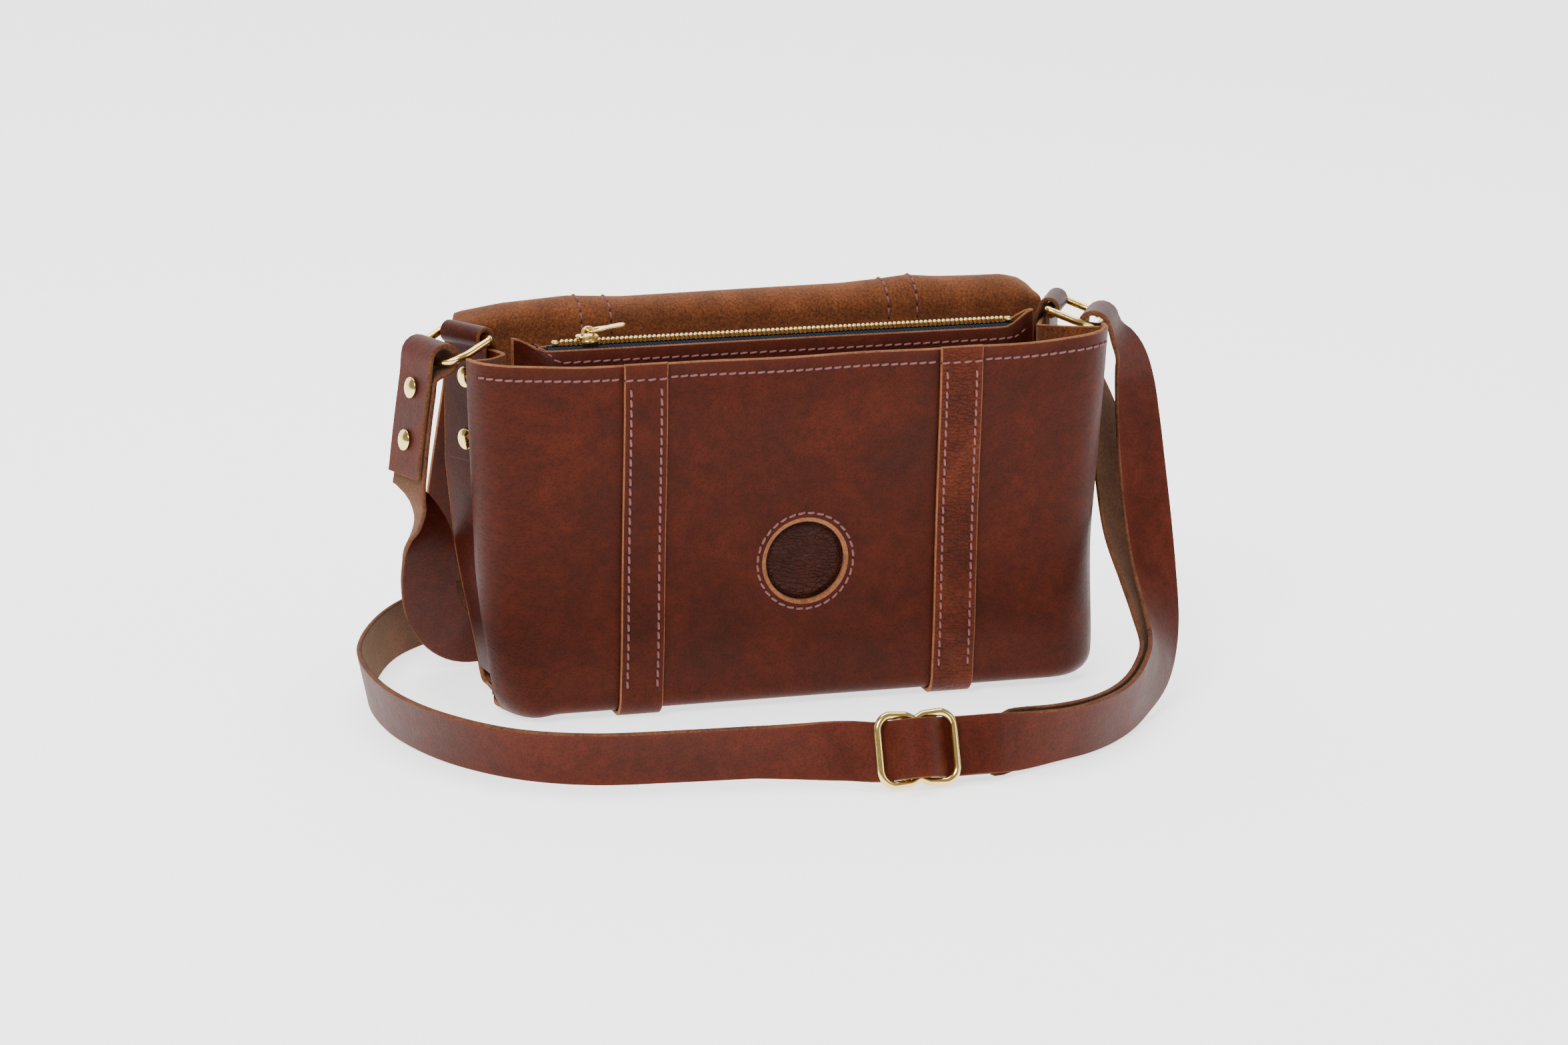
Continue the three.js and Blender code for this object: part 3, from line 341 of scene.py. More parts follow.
def grain_leather(name, dark, base, light, gloss=0.5, creases=0.0, pebble=0.35):
    """Waxed pull-up leather: clouded colour, fine pores, faint creases, rubbed rims."""
    n = Nodes(name)
    uv = n.uv()
    clouds = n.noise(uv, 2.6, 7, 0.62, 0.7)
    colour = n.ramp(clouds, [(0.25, dark), (0.5, base), (0.78, light)])
    grime = n.ramp(n.noise(uv, 14, 7, 0.68, 0.3), [(0.35, 0.74), (0.65, 1.2)])
    colour = n.blend("MULTIPLY", 0.8, colour, grime)
    pores = n.cells(uv, 95)
    fine = n.noise(uv, 240, 3, 0.65)
    grain = n.math("MULTIPLY", n.math("ADD", pores, n.math("MULTIPLY", fine, 0.8)), 0.6)
    speck = n.ramp(grain, [(0.28, 0.55), (0.5, 1.05), (0.62, 1.25)])
    colour = n.blend("MULTIPLY", 0.75, colour, speck)
    streak = n.noise(n.uv((1.0, 5.0, 1.0)), 5.5, 6, 0.6, 1.4)
    scuff = n.ramp(streak, [(0.55, 0.0), (0.75, 1.0)])
    colour = n.blend("MIX", n.math("MULTIPLY", scuff, 0.13), colour, light)
    rim = n.attribute("rim")
    worn = n.math("MULTIPLY", n.math("MULTIPLY", rim, n.ramp(fine, [(0.35, 0.3), (0.6, 1.0)])), 0.45)
    colour = n.blend("MIX", worn, colour, tuple(min(1, 1.5 * c) for c in light))
    n.link(colour, n.shader.inputs["Base Color"])
    rough = n.ramp(clouds, [(0.3, gloss - 0.07), (0.7, gloss + 0.08)])
    rough = n.blend("ADD", 0.35, rough, n.ramp(grain, [(0.2, 0.16), (0.5, 0.0)]))
    n.link(rough, n.shader.inputs["Roughness"])
    normal = n.bump(n.noise(uv, 9, 4, 0.5), 0.25, 0.5)
    if creases:
        wave = n.cells(n.uv((1.0, 2.2, 1.0)), 26, "DISTANCE_TO_EDGE")
        lines = n.ramp(wave, [(0.0, 0.0), (0.09, 1.0)])
        normal = n.bump(lines, creases, 0.35, normal)
    normal = n.bump(grain, pebble, 0.3, normal)
    n.link(normal, n.shader.inputs["Normal"])
    n.plain(Specular_IOR_Level=0.16)
    n.shader.inputs["Specular Tint"].default_value = (1.0, 0.72, 0.6, 1)
    return n.material


def suede_leather(name, dark, base, light):
    """Flesh side: short fuzz with darker and lighter flecks."""
    n = Nodes(name)
    uv = n.uv()
    clouds = n.noise(uv, 5, 6, 0.6, 0.4)
    colour = n.ramp(clouds, [(0.3, dark), (0.52, base), (0.75, light)])
    fuzz = n.noise(uv, 85, 6, 0.78, 0.5)
    fleck = n.ramp(fuzz, [(0.38, 0.35), (0.5, 1.0), (0.63, 1.9)])
    colour = n.blend("MULTIPLY", 0.9, colour, fleck)
    n.link(colour, n.shader.inputs["Base Color"])
    normal = n.bump(fuzz, 0.75, 0.45)
    n.link(normal, n.shader.inputs["Normal"])
    n.plain(Roughness=0.95, Specular_IOR_Level=0.12, Sheen_Weight=0.25, Sheen_Roughness=0.6)
    n.shader.inputs["Sheen Tint"].default_value = (0.9, 0.6, 0.4, 1)
    return n.material


def raw_edge(name, dark, light):
    """Cut edge of the leather: packed fibres along it."""
    n = Nodes(name)
    fibres = n.noise(n.place(), 900, 5, 0.7, 0.4)
    patches = n.noise(n.place(), 60, 4, 0.6)
    colour = n.ramp(n.math("ADD", n.math("MULTIPLY", fibres, 0.6), n.math("MULTIPLY", patches, 0.4)),
                    [(0.36, dark), (0.62, light)])
    n.link(colour, n.shader.inputs["Base Color"])
    n.link(n.bump(fibres, 0.6, 0.3), n.shader.inputs["Normal"])
    n.plain(Roughness=0.85, Specular_IOR_Level=0.2)
    return n.material


def polished_metal(name, colour, rough):
    """Plated wire or sheet with faint rubbing marks."""
    n = Nodes(name)
    marks = n.noise(n.place((1, 1, 4)), 500, 4, 0.6, 0.3)
    tone = n.ramp(marks, [(0.3, tuple(0.9 * c for c in colour)), (0.7, colour)])
    n.link(tone, n.shader.inputs["Base Color"])
    n.link(n.ramp(marks, [(0.3, rough * 0.7), (0.7, rough * 1.6)]), n.shader.inputs["Roughness"])
    n.link(n.bump(n.noise(n.place(), 220, 3, 0.5), 0.05, 0.3), n.shader.inputs["Normal"])
    n.plain(Metallic=1.0)
    return n.material


def thread_material(name, colour):
    """Twisted thread, with painted shade darkening the grooves between its strands."""
    n = Nodes(name)
    twist = n.noise(n.place(), 2600, 2, 0.5)
    # Darker colour between the strands: painted shade in the grooves of the twist.
    dark = tuple(0.55 * c for c in colour)
    n.link(n.ramp(twist, [(0.35, dark), (0.6, colour)]), n.shader.inputs["Base Color"])
    n.link(n.bump(twist, 0.5, 0.15), n.shader.inputs["Normal"])
    n.plain(Roughness=0.7, Specular_IOR_Level=0.25)
    return n.material


def tape_material(name, colour):
    """Woven zip tape: close diagonal ribs."""
    n = Nodes(name)
    wave = n.add("ShaderNodeTexWave", wave_type="BANDS", bands_direction="DIAGONAL")
    wave.inputs["Scale"].default_value = 38
    wave.inputs["Distortion"].default_value = 1.5
    n.link(n.uv(), wave.inputs["Vector"])
    dark = tuple(0.35 * c for c in colour)
    n.link(n.ramp(wave.outputs["Fac"], [(0.2, dark), (0.8, colour)]), n.shader.inputs["Base Color"])
    n.link(n.bump(wave.outputs["Fac"], 0.6, 0.25), n.shader.inputs["Normal"])
    n.plain(Roughness=0.8, Sheen_Weight=0.2, Specular_IOR_Level=0.2)
    return n.material


BROWN = ((0.0232, 0.0031, 0.0012), (0.0393, 0.0049, 0.0017), (0.0595, 0.0088, 0.0031))
GRAIN = grain_leather("grain_leather", *BROWN, 0.47)
GRAIN_WORN = grain_leather(
    "grain_leather_wrinkled", (0.0264, 0.0039, 0.0016), (0.0512, 0.0073, 0.0027),
    (0.1040, 0.0202, 0.0074), 0.42, creases=0.8,
)
GRAIN_DARK = grain_leather(
    "grain_leather_dark", (0.0124, 0.0029, 0.0021), (0.0223, 0.0043, 0.0029), (0.0713, 0.0174, 0.0087),
    0.36, creases=0.9, pebble=0.25,
)
GRAIN_STRAP = grain_leather(
    "grain_leather_strap", (0.0342, 0.0054, 0.0025), (0.0508, 0.0079, 0.0037), (0.0707, 0.0127, 0.0060),
    0.5,
)
SUEDE = suede_leather("suede", (0.072, 0.0175, 0.0048), (0.125, 0.0325, 0.0088), (0.18, 0.052, 0.0155))
# Darker copy of the suede for the strap's flesh side: painted shade, for the strap's suede that lies in
# shadow.
SUEDE_PAINTED_SHADE = suede_leather(
    "suede_painted_shade", (0.036, 0.0098, 0.0036), (0.062, 0.0175, 0.0062), (0.105, 0.033, 0.0125)
)
EDGE = raw_edge("raw_edge", (0.115, 0.036, 0.0135), (0.30, 0.118, 0.048))
EDGE_DARK = raw_edge("raw_edge_dark", (0.045, 0.0145, 0.0062), (0.16, 0.058, 0.024))
GOLD = polished_metal("brass_plating", (0.92, 0.66, 0.22), 0.13)
GOLD_SATIN = polished_metal("brass_satin", (0.88, 0.63, 0.22), 0.26)
THREAD = thread_material("thread", (0.24, 0.088, 0.084))
# Near-black colour for the discs over the needle holes: painted shade in the holes.
NEEDLE_HOLE_SHADE = thread_material("needle_hole_painted_shade", (0.012, 0.004, 0.003))
TAPE = tape_material("zip_tape", (0.022, 0.036, 0.066))

# ---------------------------------------------------------------- mesh builders


def add_object(name, data):
    piece = bpy.data.objects.new(name, data)
    bpy.context.collection.objects.link(piece)
    return piece


def new_mesh(name, points, faces, materials, index=None, uvs=None, rims=None, normals=None):
    """Mesh object from points in millimetres."""
    mesh = bpy.data.meshes.new(name)
    mesh.from_pydata([tuple((np.asarray(p) + SHIFT) * MM) for p in points], [], faces)
    for material in materials:
        mesh.materials.append(material)
    if index is not None:
        mesh.polygons.foreach_set("material_index", index)
    mesh.polygons.foreach_set("use_smooth", [True] * len(mesh.polygons))
    if uvs is not None:
        layer = mesh.uv_layers.new(name="leather")
        flat = []
        for loop in mesh.loops:
            flat.extend(uvs[loop.vertex_index])
        layer.data.foreach_set("uv", flat)
    if rims is not None:
        attribute = mesh.attributes.new("rim", "FLOAT", "POINT")
        attribute.data.foreach_set("value", rims)
    mesh.update()
    if normals is not None:
        mesh.normals_split_custom_set_from_vertices([tuple(v) for v in normals])
    return add_object(name, mesh)


def surface_normals(grid):
    """Unit normals of a grid of points, rows crossing columns."""
    across = np.gradient(grid, axis=1)
    along = np.gradient(grid, axis=0)
    return unit(np.cross(across, along))


def leather(name, points, normals, faces, uvs, thickness, materials, open_points=(), raw_faces=()):
    """Leather of a thickness round a mesh of middle points.

    The first material is on the side of the normals, the second on the other side and the third on
    the cut rims. open_points are the points along which another piece goes on, so they get no rim.
    """
    points = np.asarray(points, float)
    normals = unit(normals)
    a, b, c = (points[faces[len(faces) // 2][k]] for k in (0, 1, 2))
    if np.dot(np.cross(b - a, c - a), normals[faces[len(faces) // 2][0]]) < 0:
        faces = [tuple(reversed(f)) for f in faces]
    open_points = set(open_points)
    edges = {}
    for f in faces:
        for p, q in zip(f, f[1:] + f[:1]):
            edges[(p, q)] = True
    border = [(p, q) for p, q in edges if (q, p) not in edges]
    cut = [(p, q) for p, q in border if not (p in open_points and q in open_points)]
    outward = np.zeros_like(points)
    for p, q in cut:
        way = unit(np.cross(points[q] - points[p], normals[p] + normals[q]))
        outward[p] += way
        outward[q] += way
    rim_points = sorted({p for edge in cut for p in edge})
    size = np.linalg.norm(outward, axis=1)
    outward[size > 1e-9] = outward[size > 1e-9] / size[size > 1e-9][:, None]
    distance = np.full(len(points), 99.0)
    if rim_points:
        tree = kdtree.KDTree(len(rim_points))
        for k, p in enumerate(rim_points):
            tree.insert(points[p], k)
        tree.balance()
        distance = np.array([tree.find(p)[2] for p in points])
    round_off = min(EDGE_ROUND, thickness * 0.3)
    half = thickness / 2
    count = len(points)
    body = points - outward * round_off
    all_points = [*(body + normals * half), *(body - normals * half)]
    all_normals = [*normals, *(-normals)]
    all_rims = list(np.exp(-distance / 1.6)) * 2
    all_uvs = list(uvs) * 2
    all_faces = [tuple(f) for f in faces]
    index = [2 if k in raw_faces else 0 for k in range(len(faces))]
    all_faces += [tuple(count + p for p in reversed(f)) for f in faces]
    index += [1] * len(faces)
    side = {}
    for p in rim_points:
        side[p] = len(all_points)
        for sign in (1, -1):
            all_points.append(points[p] + normals[p] * (half - round_off) * sign)
            all_normals.append(unit(outward[p] * 0.9 + normals[p] * 0.45 * sign))
            all_rims.append(1.0)
            all_uvs.append(uvs[p])
    for p, q in cut:
        all_faces.append((q, p, side[p], side[q]))
        all_faces.append((side[q], side[p], side[p] + 1, side[q] + 1))
        all_faces.append((side[q] + 1, side[p] + 1, count + p, count + q))
        index += [2, 2, 2]
    return new_mesh(name, all_points, all_faces, materials, index, all_uvs, all_rims, all_normals)


def grid_faces(rows, cols):
    """Quads of a grid whose points are numbered row by row."""
    return [
        (i * cols + j, i * cols + j + 1, (i + 1) * cols + j + 1, (i + 1) * cols + j)
        for i in range(rows - 1) for j in range(cols - 1)
    ]


def grid_uvs(grid, seed=0.0, start=0.0):
    """UV of each grid point by running length, moved by a seed so that no two pieces match."""
    rows, cols = grid.shape[:2]
    v_run = lengths(grid[:, cols // 2]) + start
    u_run = lengths(grid[rows // 2])
    u_run = u_run - u_run[cols // 2]
    return [
        ((u + 37.0 * seed) * UV_UNIT, (v + 91.0 * seed) * UV_UNIT) for v in v_run for u in u_run
    ]


def shell(name, grid, thickness, materials, ends=(1, 1, 1, 1), seed=0.0, normals=None, face=None,
          start=0.0, raw_rows=0):
    """Leather sheet from a grid; ends tells which of first row, last row, first and last column
    are cut. face is a direction that the first material looks to at the middle of the grid."""
    grid = np.asarray(grid, float)
    rows, cols = grid.shape[:2]
    n = surface_normals(grid) if normals is None else unit(normals)
    if face is not None and np.dot(n[rows // 2, cols // 2], face) < 0:
        n = -n
    ids = np.arange(rows * cols).reshape(rows, cols)
    opened = []
    for kept, line in zip(ends, (ids[0], ids[-1], ids[:, 0], ids[:, -1])):
        if not kept:
            opened.extend(int(p) for p in line)
    flat = grid.reshape(-1, 3)
    uvs = grid_uvs(grid, seed, start)
    faces = grid_faces(rows, cols)
    raw = set(range(raw_rows * (cols - 1)))
    return leather(name, flat, n.reshape(-1, 3), faces, uvs, thickness, materials, opened, raw)


def polar(name, profile, place, thickness, materials, seed=0.0, sectors=64, wobble=0.0):
    """Round piece from a profile of (radius, height); height is along the place's local +Y."""
    points, normals, uvs, faces = [], [], [], []
    profile = np.asarray(profile, float)
    slope = np.gradient(profile, axis=0)
    for (r, h), (dr, dh) in zip(profile, slope):
        lean = unit((-dh, dr))
        for k in range(sectors):
            a = 2 * math.pi * k / sectors
            rise = wobble * ripple(9 * r * math.cos(a), 9 * r * math.sin(a), seed) * min(r / 4, 1)
            points.append(place @ Vector((r * math.cos(a), h + rise, r * math.sin(a))))
            out = Vector((lean[0] * math.cos(a), lean[1], lean[0] * math.sin(a)))
            normals.append(place.to_3x3() @ out)
            u, v = r * math.cos(a) + 53 * seed, r * math.sin(a) + 29 * seed
            uvs.append((u * UV_UNIT, v * UV_UNIT))
    for i in range(len(profile) - 1):
        for k in range(sectors):
            p, q = i * sectors + k, i * sectors + (k + 1) % sectors
            faces.append((p, q, q + sectors, p + sectors))
    if profile[0][0] < 1.0:
        faces.append(tuple(reversed(range(sectors))))
    return leather(name, points, normals, faces, uvs, thickness, materials)


def combine(name, pieces):
    """Joins pieces into one object; all of them must use the same list of materials."""
    for piece in bpy.context.selected_objects:
        piece.select_set(False)
    for piece in pieces:
        piece.select_set(True)
    bpy.context.view_layer.objects.active = pieces[0]
    if len(pieces) > 1:
        bpy.ops.object.join()
    pieces[0].name = name
    pieces[0].select_set(False)
    return pieces[0]


def stitches(name, line, normals, pitch=STITCH_PITCH):
    """Row of stitches along a polyline: beads pulled down at their ends into needle holes, each hole
    covered by a near-black disc of painted shade.
    """
    line = np.asarray(line, float)
    normals = np.asarray(normals, float)
    run = lengths(line)
    count = max(int(run[-1] / pitch), 1)
    half, wide, tall, slant = 0.43 * pitch, 0.55, 0.5, 0.10
    points, faces, index = [], [], []
    rings, sides = (-1.0, -0.82, -0.4, 0.4, 0.82, 1.0), 8
    girth = (0.35, 0.85, 1.0, 1.0, 0.85, 0.35)

    def frame_at(s):
        at, ahead, behind, n = (
            np.array([np.interp(s + d, run, source[:, c]) for c in range(3)])
            for d, source in ((0, line), (1, line), (-1, line), (0, normals))
        )
        n = unit(n)
        t = unit(ahead - behind)
        return at, t, np.cross(n, t), n

    for k in range(count):
        at, t, b, n = frame_at((k + 0.5) * run[-1] / count)
        t = unit(t + b * slant)
        b = np.cross(n, t)
        base = len(points)
        for r, g in zip(rings, girth):
            dip = -0.5 * abs(r) ** 4
            for q in range(sides):
                a = 2 * math.pi * q / sides
                away = b * wide * g * math.cos(a) + n * tall * g * math.sin(a)
                points.append(at + t * half * r + away + n * (0.18 + dip))
        for r in range(len(rings) - 1):
            for q in range(sides):
                a = base + r * sides + q
                c = base + r * sides + (q + 1) % sides
                faces.append((a, c, c + sides, a + sides))
        faces.append(tuple(base + q for q in reversed(range(sides))))
        faces.append(tuple(base + (len(rings) - 1) * sides + q for q in range(sides)))
    index = [0] * len(faces)
    # Flat near-black discs at the needle holes: painted shade in the holes.
    for k in range(count + 1):
        at, t, b, n = frame_at(k * run[-1] / count)
        base = len(points)
        for q in range(sides):
            a = 2 * math.pi * q / sides
            points.append(at + t * 0.62 * math.cos(a) + b * 0.5 * math.sin(a) + n * 0.035)
        faces.append(tuple(base + q for q in range(sides)))
        index.append(1)
    return new_mesh(name, points, faces, [THREAD, NEEDLE_HOLE_SHADE], index)


def tidy_normals(piece, weld=0.0, flat=False):
    """All faces turned outwards; points within weld, in metres, become one."""
    clean = bmesh.new()
    clean.from_mesh(piece.data)
    if weld:
        bmesh.ops.remove_doubles(clean, verts=clean.verts, dist=weld)
    bmesh.ops.recalc_face_normals(clean, faces=clean.faces)
    clean.to_mesh(piece.data)
    clean.free()
    if flat:
        piece.data.polygons.foreach_set("use_smooth", [False] * len(piece.data.polygons))
    return piece


def lathe(name, profile, segments, place, material):
    """Solid of revolution about local +Y, put in place by a matrix in millimetres."""
    points, faces = [], []
    for r, h in profile:
        for k in range(segments):
            a = 2 * math.pi * k / segments
            points.append(Vector((r * math.cos(a), h, r * math.sin(a))))
    for i in range(len(profile) - 1):
        for k in range(segments):
            a = i * segments + k
            b = i * segments + (k + 1) % segments
            faces.append((a, a + segments, b + segments, b))
    piece = new_mesh(name, [place @ p for p in points], faces, [material])
    return tidy_normals(piece, weld=1e-6)


def wire(name, points, radius, material, closed=True, sides=16, count=120):
    """Round wire through points, as a mesh."""
    line = np.asarray(points, float)
    if closed:
        line = np.vstack([line, line[:1]])
    line = resample(line, count=count + 1)
    for _ in range(2):
        if closed:
            body = line[:-1]
            body = (np.roll(body, 1, 0) + 2 * body + np.roll(body, -1, 0)) / 4
            line = np.vstack([body, body[:1]])
        else:
            line[1:-1] = (line[:-2] + 2 * line[1:-1] + line[2:]) / 4
    body = line[:-1] if closed else line
    ahead = np.roll(body, -1, 0) if closed else np.vstack([body[1:], 2 * body[-1:] - body[-2:-1]])
    behind = np.roll(body, 1, 0) if closed else np.vstack([2 * body[:1] - body[1:2], body[:-1]])
    along = unit(ahead - behind)
    centre = body.mean(0)
    flat = unit(np.cross(body[0] - centre, body[len(body) // 3] - centre))
    side = unit(np.cross(along, np.tile(flat, (len(body), 1))))
    other = np.cross(along, side)
    points, faces = [], []
    for p, s, o in zip(body, side, other):
        for q in range(sides):
            a = 2 * math.pi * q / sides
            points.append(p + (s * math.cos(a) + o * math.sin(a)) * radius)
    rows = len(body)
    for r in range(rows if closed else rows - 1):
        for q in range(sides):
            a, b = r * sides + q, r * sides + (q + 1) % sides
            c, d = ((r + 1) % rows) * sides + (q + 1) % sides, ((r + 1) % rows) * sides + q
            faces.append((a, b, c, d))
    if not closed:
        faces.append(tuple(reversed(range(sides))))
        faces.append(tuple(range((rows - 1) * sides, rows * sides)))
    return tidy_normals(new_mesh(name, points, faces, [material]))


def aimed(point, direction):
    """Matrix that takes +Y to a direction and the origin to a point."""
    turn = Vector((0, 1, 0)).rotation_difference(Vector(direction).normalized())
    return Matrix.Translation(Vector(point)) @ turn.to_matrix().to_4x4()


def rivet(name, point, direction, grip, body, node):
    """Two domed caps with rolled rims, one on each side of the layers they hold."""
    half = grip / 2
    cap = [
        (0.0, half), (RIVET_CAP - 0.35, half), (RIVET_CAP - 0.05, half + 0.15),
        (RIVET_CAP, half + 0.45), (RIVET_CAP - 0.3, half + 0.8), (RIVET_CAP - 0.9, half + 0.98),
        (3.2, half + 1.22), (2.2, half + 1.5), (1.1, half + 1.66), (0.0, half + 1.7),
    ]
    front = lathe(name, cap, 40, aimed(point, direction), GOLD)
    back = lathe(name + "_back", cap, 40, aimed(point, [-c for c in direction]), GOLD)
    piece = combine(name, [front, back])
    return finish_piece(piece, body, "brass", node)


def finish_piece(piece, body, slot, *nodes):
    """The piece rides on one body, and stands for the CAD nodes."""
    if nodes:
        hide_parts(*nodes)
    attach(piece, body)
    return piece


def finish_bend(piece, a, b, start, end, slot, *nodes):
    """Hides the CAD nodes and bakes the piece's placement into its points; body a, body b and the two
    places are not used.
    """
    if nodes:
        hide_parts(*nodes)
    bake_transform(piece)
    return piece


# ---------------------------------------------------------------- wrap: front, bottom and back

FRONT_SIDES = (139.0, 147.0)
BACK_SIDES = (133.0, 143.0)
VALLEY = (130.0, 123.5)
FRONT_TURN = -2.9
BACK_TURN = 1.3
SEAM_HALF = 139.0
FLAT_COLUMNS = 72
MAGNET_BLOCK = 27.0
FRONT_OUT = unit((0.0, -1.0, -FRONT_LEAN / FRONT_HEIGHT))


def front_y(z):
    """Depth of the front's outer face at a height."""
    return -(BOTTOM_HALF_DEPTH + FRONT_LEAN * z / FRONT_HEIGHT)


def back_y(z):
    """Depth of the back's outer face at a height."""
    return BOTTOM_HALF_DEPTH + BACK_LEAN * z / BACK_HEIGHT


def back_top(z):
    """How far the back's top edge stands out towards the flap."""
    return 1.2 * smooth((z - 143) / 14.5)


def taper(pair, z, height):
    """Half width at a height, between its values at the foot and at the given height."""
    return mix(pair[0], pair[1], min(max(z / height, 0), 1))


def puff(x, z):
    """How far the soft front stands out from its flat shape."""
    inside = smooth((z - 8) / 30) * smooth((158 - z) / 26) * smooth((132 - abs(x)) / 24)
    clear = smooth((math.hypot(x - MAGNET[0], z - MAGNET[1]) - 28) / 22)
    return inside * clear * (0.9 * ripple(x, z, 2.0) + 0.5)


def top_lift(x):
    """The front's top edge rises towards its corners and is a little uneven."""
    return 0.5 + 3.0 * smooth((abs(x) - 95) / 48) + 0.35 * ripple(3.1 * x, 11.0, 4.0)


def settle(p):
    """The base has slid a little to one side and its left front corner sags."""
    x, y, z = p
    shrink = 9.0 * (1 - min(max(z, 0) / 14, 1)) ** 2 * smooth((abs(x) - 108) / 26) * smooth(-y / 22)
    x -= math.copysign(shrink, x)
    side = smooth((abs(x) - 95) / 40) * smooth(1 - z / 75)
    sag = smooth(1 - math.dist((x, y, z), (-133, -32, 3)) / 26)
    return np.array((x + 5.5 * side + 1.5 * sag, y - 1.0 * sag, z - 1.9 * sag))


def section(out, step=4.0):
    """Points (y, z, outward y, outward z) from the front's top, round the bottom, to the back's."""
    low = BOTTOM_LIFT + BOTTOM_ROUND
    rows = []
    lean = unit((-1.0, -FRONT_LEAN / FRONT_HEIGHT))
    for z in edged(FRONT_HEIGHT, low, step, (0.6, 1.6, 3.2)):
        rows.append((front_y(z) + lean[0] * out, z, *lean))
    radius = BOTTOM_ROUND + out
    centre = (front_y(low) + BOTTOM_ROUND, low)
    for k in range(1, 9):
        a = math.radians(mix(180 + FRONT_TURN, 270, k / 8))
        rows.append((centre[0] + radius * math.cos(a), centre[1] + radius * math.sin(a),
                     math.cos(a), math.sin(a)))
    far = (back_y(low) - BOTTOM_ROUND, low)
    for k in range(1, 15):
        rows.append((mix(centre[0], far[0], k / 14), low - radius, 0, -1))
    for k in range(1, 9):
        a = math.radians(mix(270, 360 + BACK_TURN, k / 8))
        rows.append((far[0] + radius * math.cos(a), far[1] + radius * math.sin(a),
                     math.cos(a), math.sin(a)))
    count = int((BACK_HEIGHT - low) / step)
    for k in range(1, count + 1):
        z = mix(low, BACK_HEIGHT, k / count)
        rows.append((back_y(z) + out + back_top(z), z, 1, 0))
    return rows


def wrap_point(row, out, flat=None, turn=None, side=1, x=None):
    """Point of the wrap: by fraction of the flat part, by turn round a corner, or at an x."""
    y, z, oy, oz = row
    behind = smooth((y + 20) / 40) if z < 12 else float(y > 0)
    radius = mix(FRONT_CORNER, BACK_CORNER, behind) + out
    half = mix(taper(FRONT_SIDES, z, FRONT_HEIGHT), taper(BACK_SIDES, z, TAPER_HEIGHT), behind) + out
    if x is not None:
        px, inset = x, 0.0
    elif turn is None:
        px, inset = flat * (half - radius), 0.0
    else:
        a = math.radians(turn)
        px = side * (half - radius + radius * math.sin(a))
        inset = radius * (1 - math.cos(a))
    y = y * (1 - inset / max(abs(y), BOTTOM_HALF_DEPTH + out))
    if y < 0:
        push = puff(px, z)
        y, z = y + oy * push, z + oz * push
        z += top_lift(px) * smooth((z - 132) / 28)
    return settle((px, y, z))


def build_wrap():
    """Front, bottom and back in one sheet, with a round opening for the magnet's cover."""
    out = -LEATHER / 2
    rows = section(out)
    flats = [mix(-1, 1, k / FLAT_COLUMNS) for k in range(FLAT_COLUMNS + 1)]
    turns = (15, 30, 45, 60, 75, 86, 90)
    grid = []
    for row in rows:
        left = [wrap_point(row, out, turn=t, side=-1) for t in reversed(turns)]
        middle = [wrap_point(row, out, flat=f) for f in flats]
        right = [wrap_point(row, out, turn=t) for t in turns]
        grid.append(left + middle + right)
    grid = np.asarray(grid)
    normals = surface_normals(grid)
    if normals[10, 40] @ FRONT_OUT < 0:
        normals = -normals
    count_rows, cols = grid.shape[:2]
    points = list(grid.reshape(-1, 3))
    point_normals = list(normals.reshape(-1, 3))
    uvs = grid_uvs(grid, 1.0)
    inside = np.zeros((count_rows, cols), bool)
    for i in range(count_rows):
        for j in range(cols):
            x, y, z = grid[i, j]
            near = abs(x - MAGNET[0]) < MAGNET_BLOCK and abs(z - MAGNET[1]) < MAGNET_BLOCK
            inside[i, j] = near and y < 0
    i_list, j_list = np.where(inside)
    i0, i1, j0, j1 = i_list.min(), i_list.max(), j_list.min(), j_list.max()
    faces = []
    for i in range(count_rows - 1):
        for j in range(cols - 1):
            if i0 <= i < i1 and j0 <= j < j1:
                continue
            p = i * cols + j
            faces.append((p, p + 1, p + cols + 1, p + cols))
    loop = [(i0, j) for j in range(j0, j1)] + [(i, j1) for i in range(i0, i1)]
    loop += [(i1, j) for j in range(j1, j0, -1)] + [(i, j0) for i in range(i1, i0, -1)]
    previous = [i * cols + j for i, j in loop]
    raw = set()
    widest = MAGNET_HOLE + 1.9
    lip = MAGNET_HOLE + 1.4
    rings = [(0.3, widest), (0.6, widest), (0.85, widest), (1, widest)]
    rings += [(1, MAGNET_HOLE + 1.3), (1, MAGNET_HOLE + 0.5), (1, MAGNET_HOLE)]
    for step, radius in rings:
        ring = []
        for i, j in loop:
            x, y, z = grid[i, j]
            away = np.array((x - MAGNET[0], z - MAGNET[1]))
            at = away * (1 - step) + unit(away) * radius * step
            px, pz = MAGNET[0] + at[0], MAGNET[1] + at[1]
            flat = front_y(pz) + FRONT_OUT[1] * out
            ring.append(len(points))
            points.append(np.array((px, mix(y + front_y(pz) - front_y(z), flat, step), pz)))
            point_normals.append(FRONT_OUT)
            base = uvs[i * cols + j]
            uvs.append((base[0] + (px - x) * UV_UNIT, base[1] - (pz - z) * UV_UNIT))
        for k in range(len(loop)):
            k2 = (k + 1) % len(loop)
            if radius < lip:
                raw.add(len(faces))
            faces.append((previous[k], previous[k2], ring[k2], ring[k]))
        previous = ring
    seam = [(count_rows - 1) * cols + len(turns) + k for k in range(FLAT_COLUMNS + 1)]
    piece = leather(
        "wrap", points, point_normals, faces, uvs, LEATHER, [GRAIN, SUEDE, EDGE], seam, raw,
    )
    finish_piece(piece, "bag", "grain", "body_panel")
    seam_row = grid[-1, len(turns):len(turns) + FLAT_COLUMNS + 1]
    return seam_row, normals[-1, len(turns):len(turns) + FLAT_COLUMNS + 1]


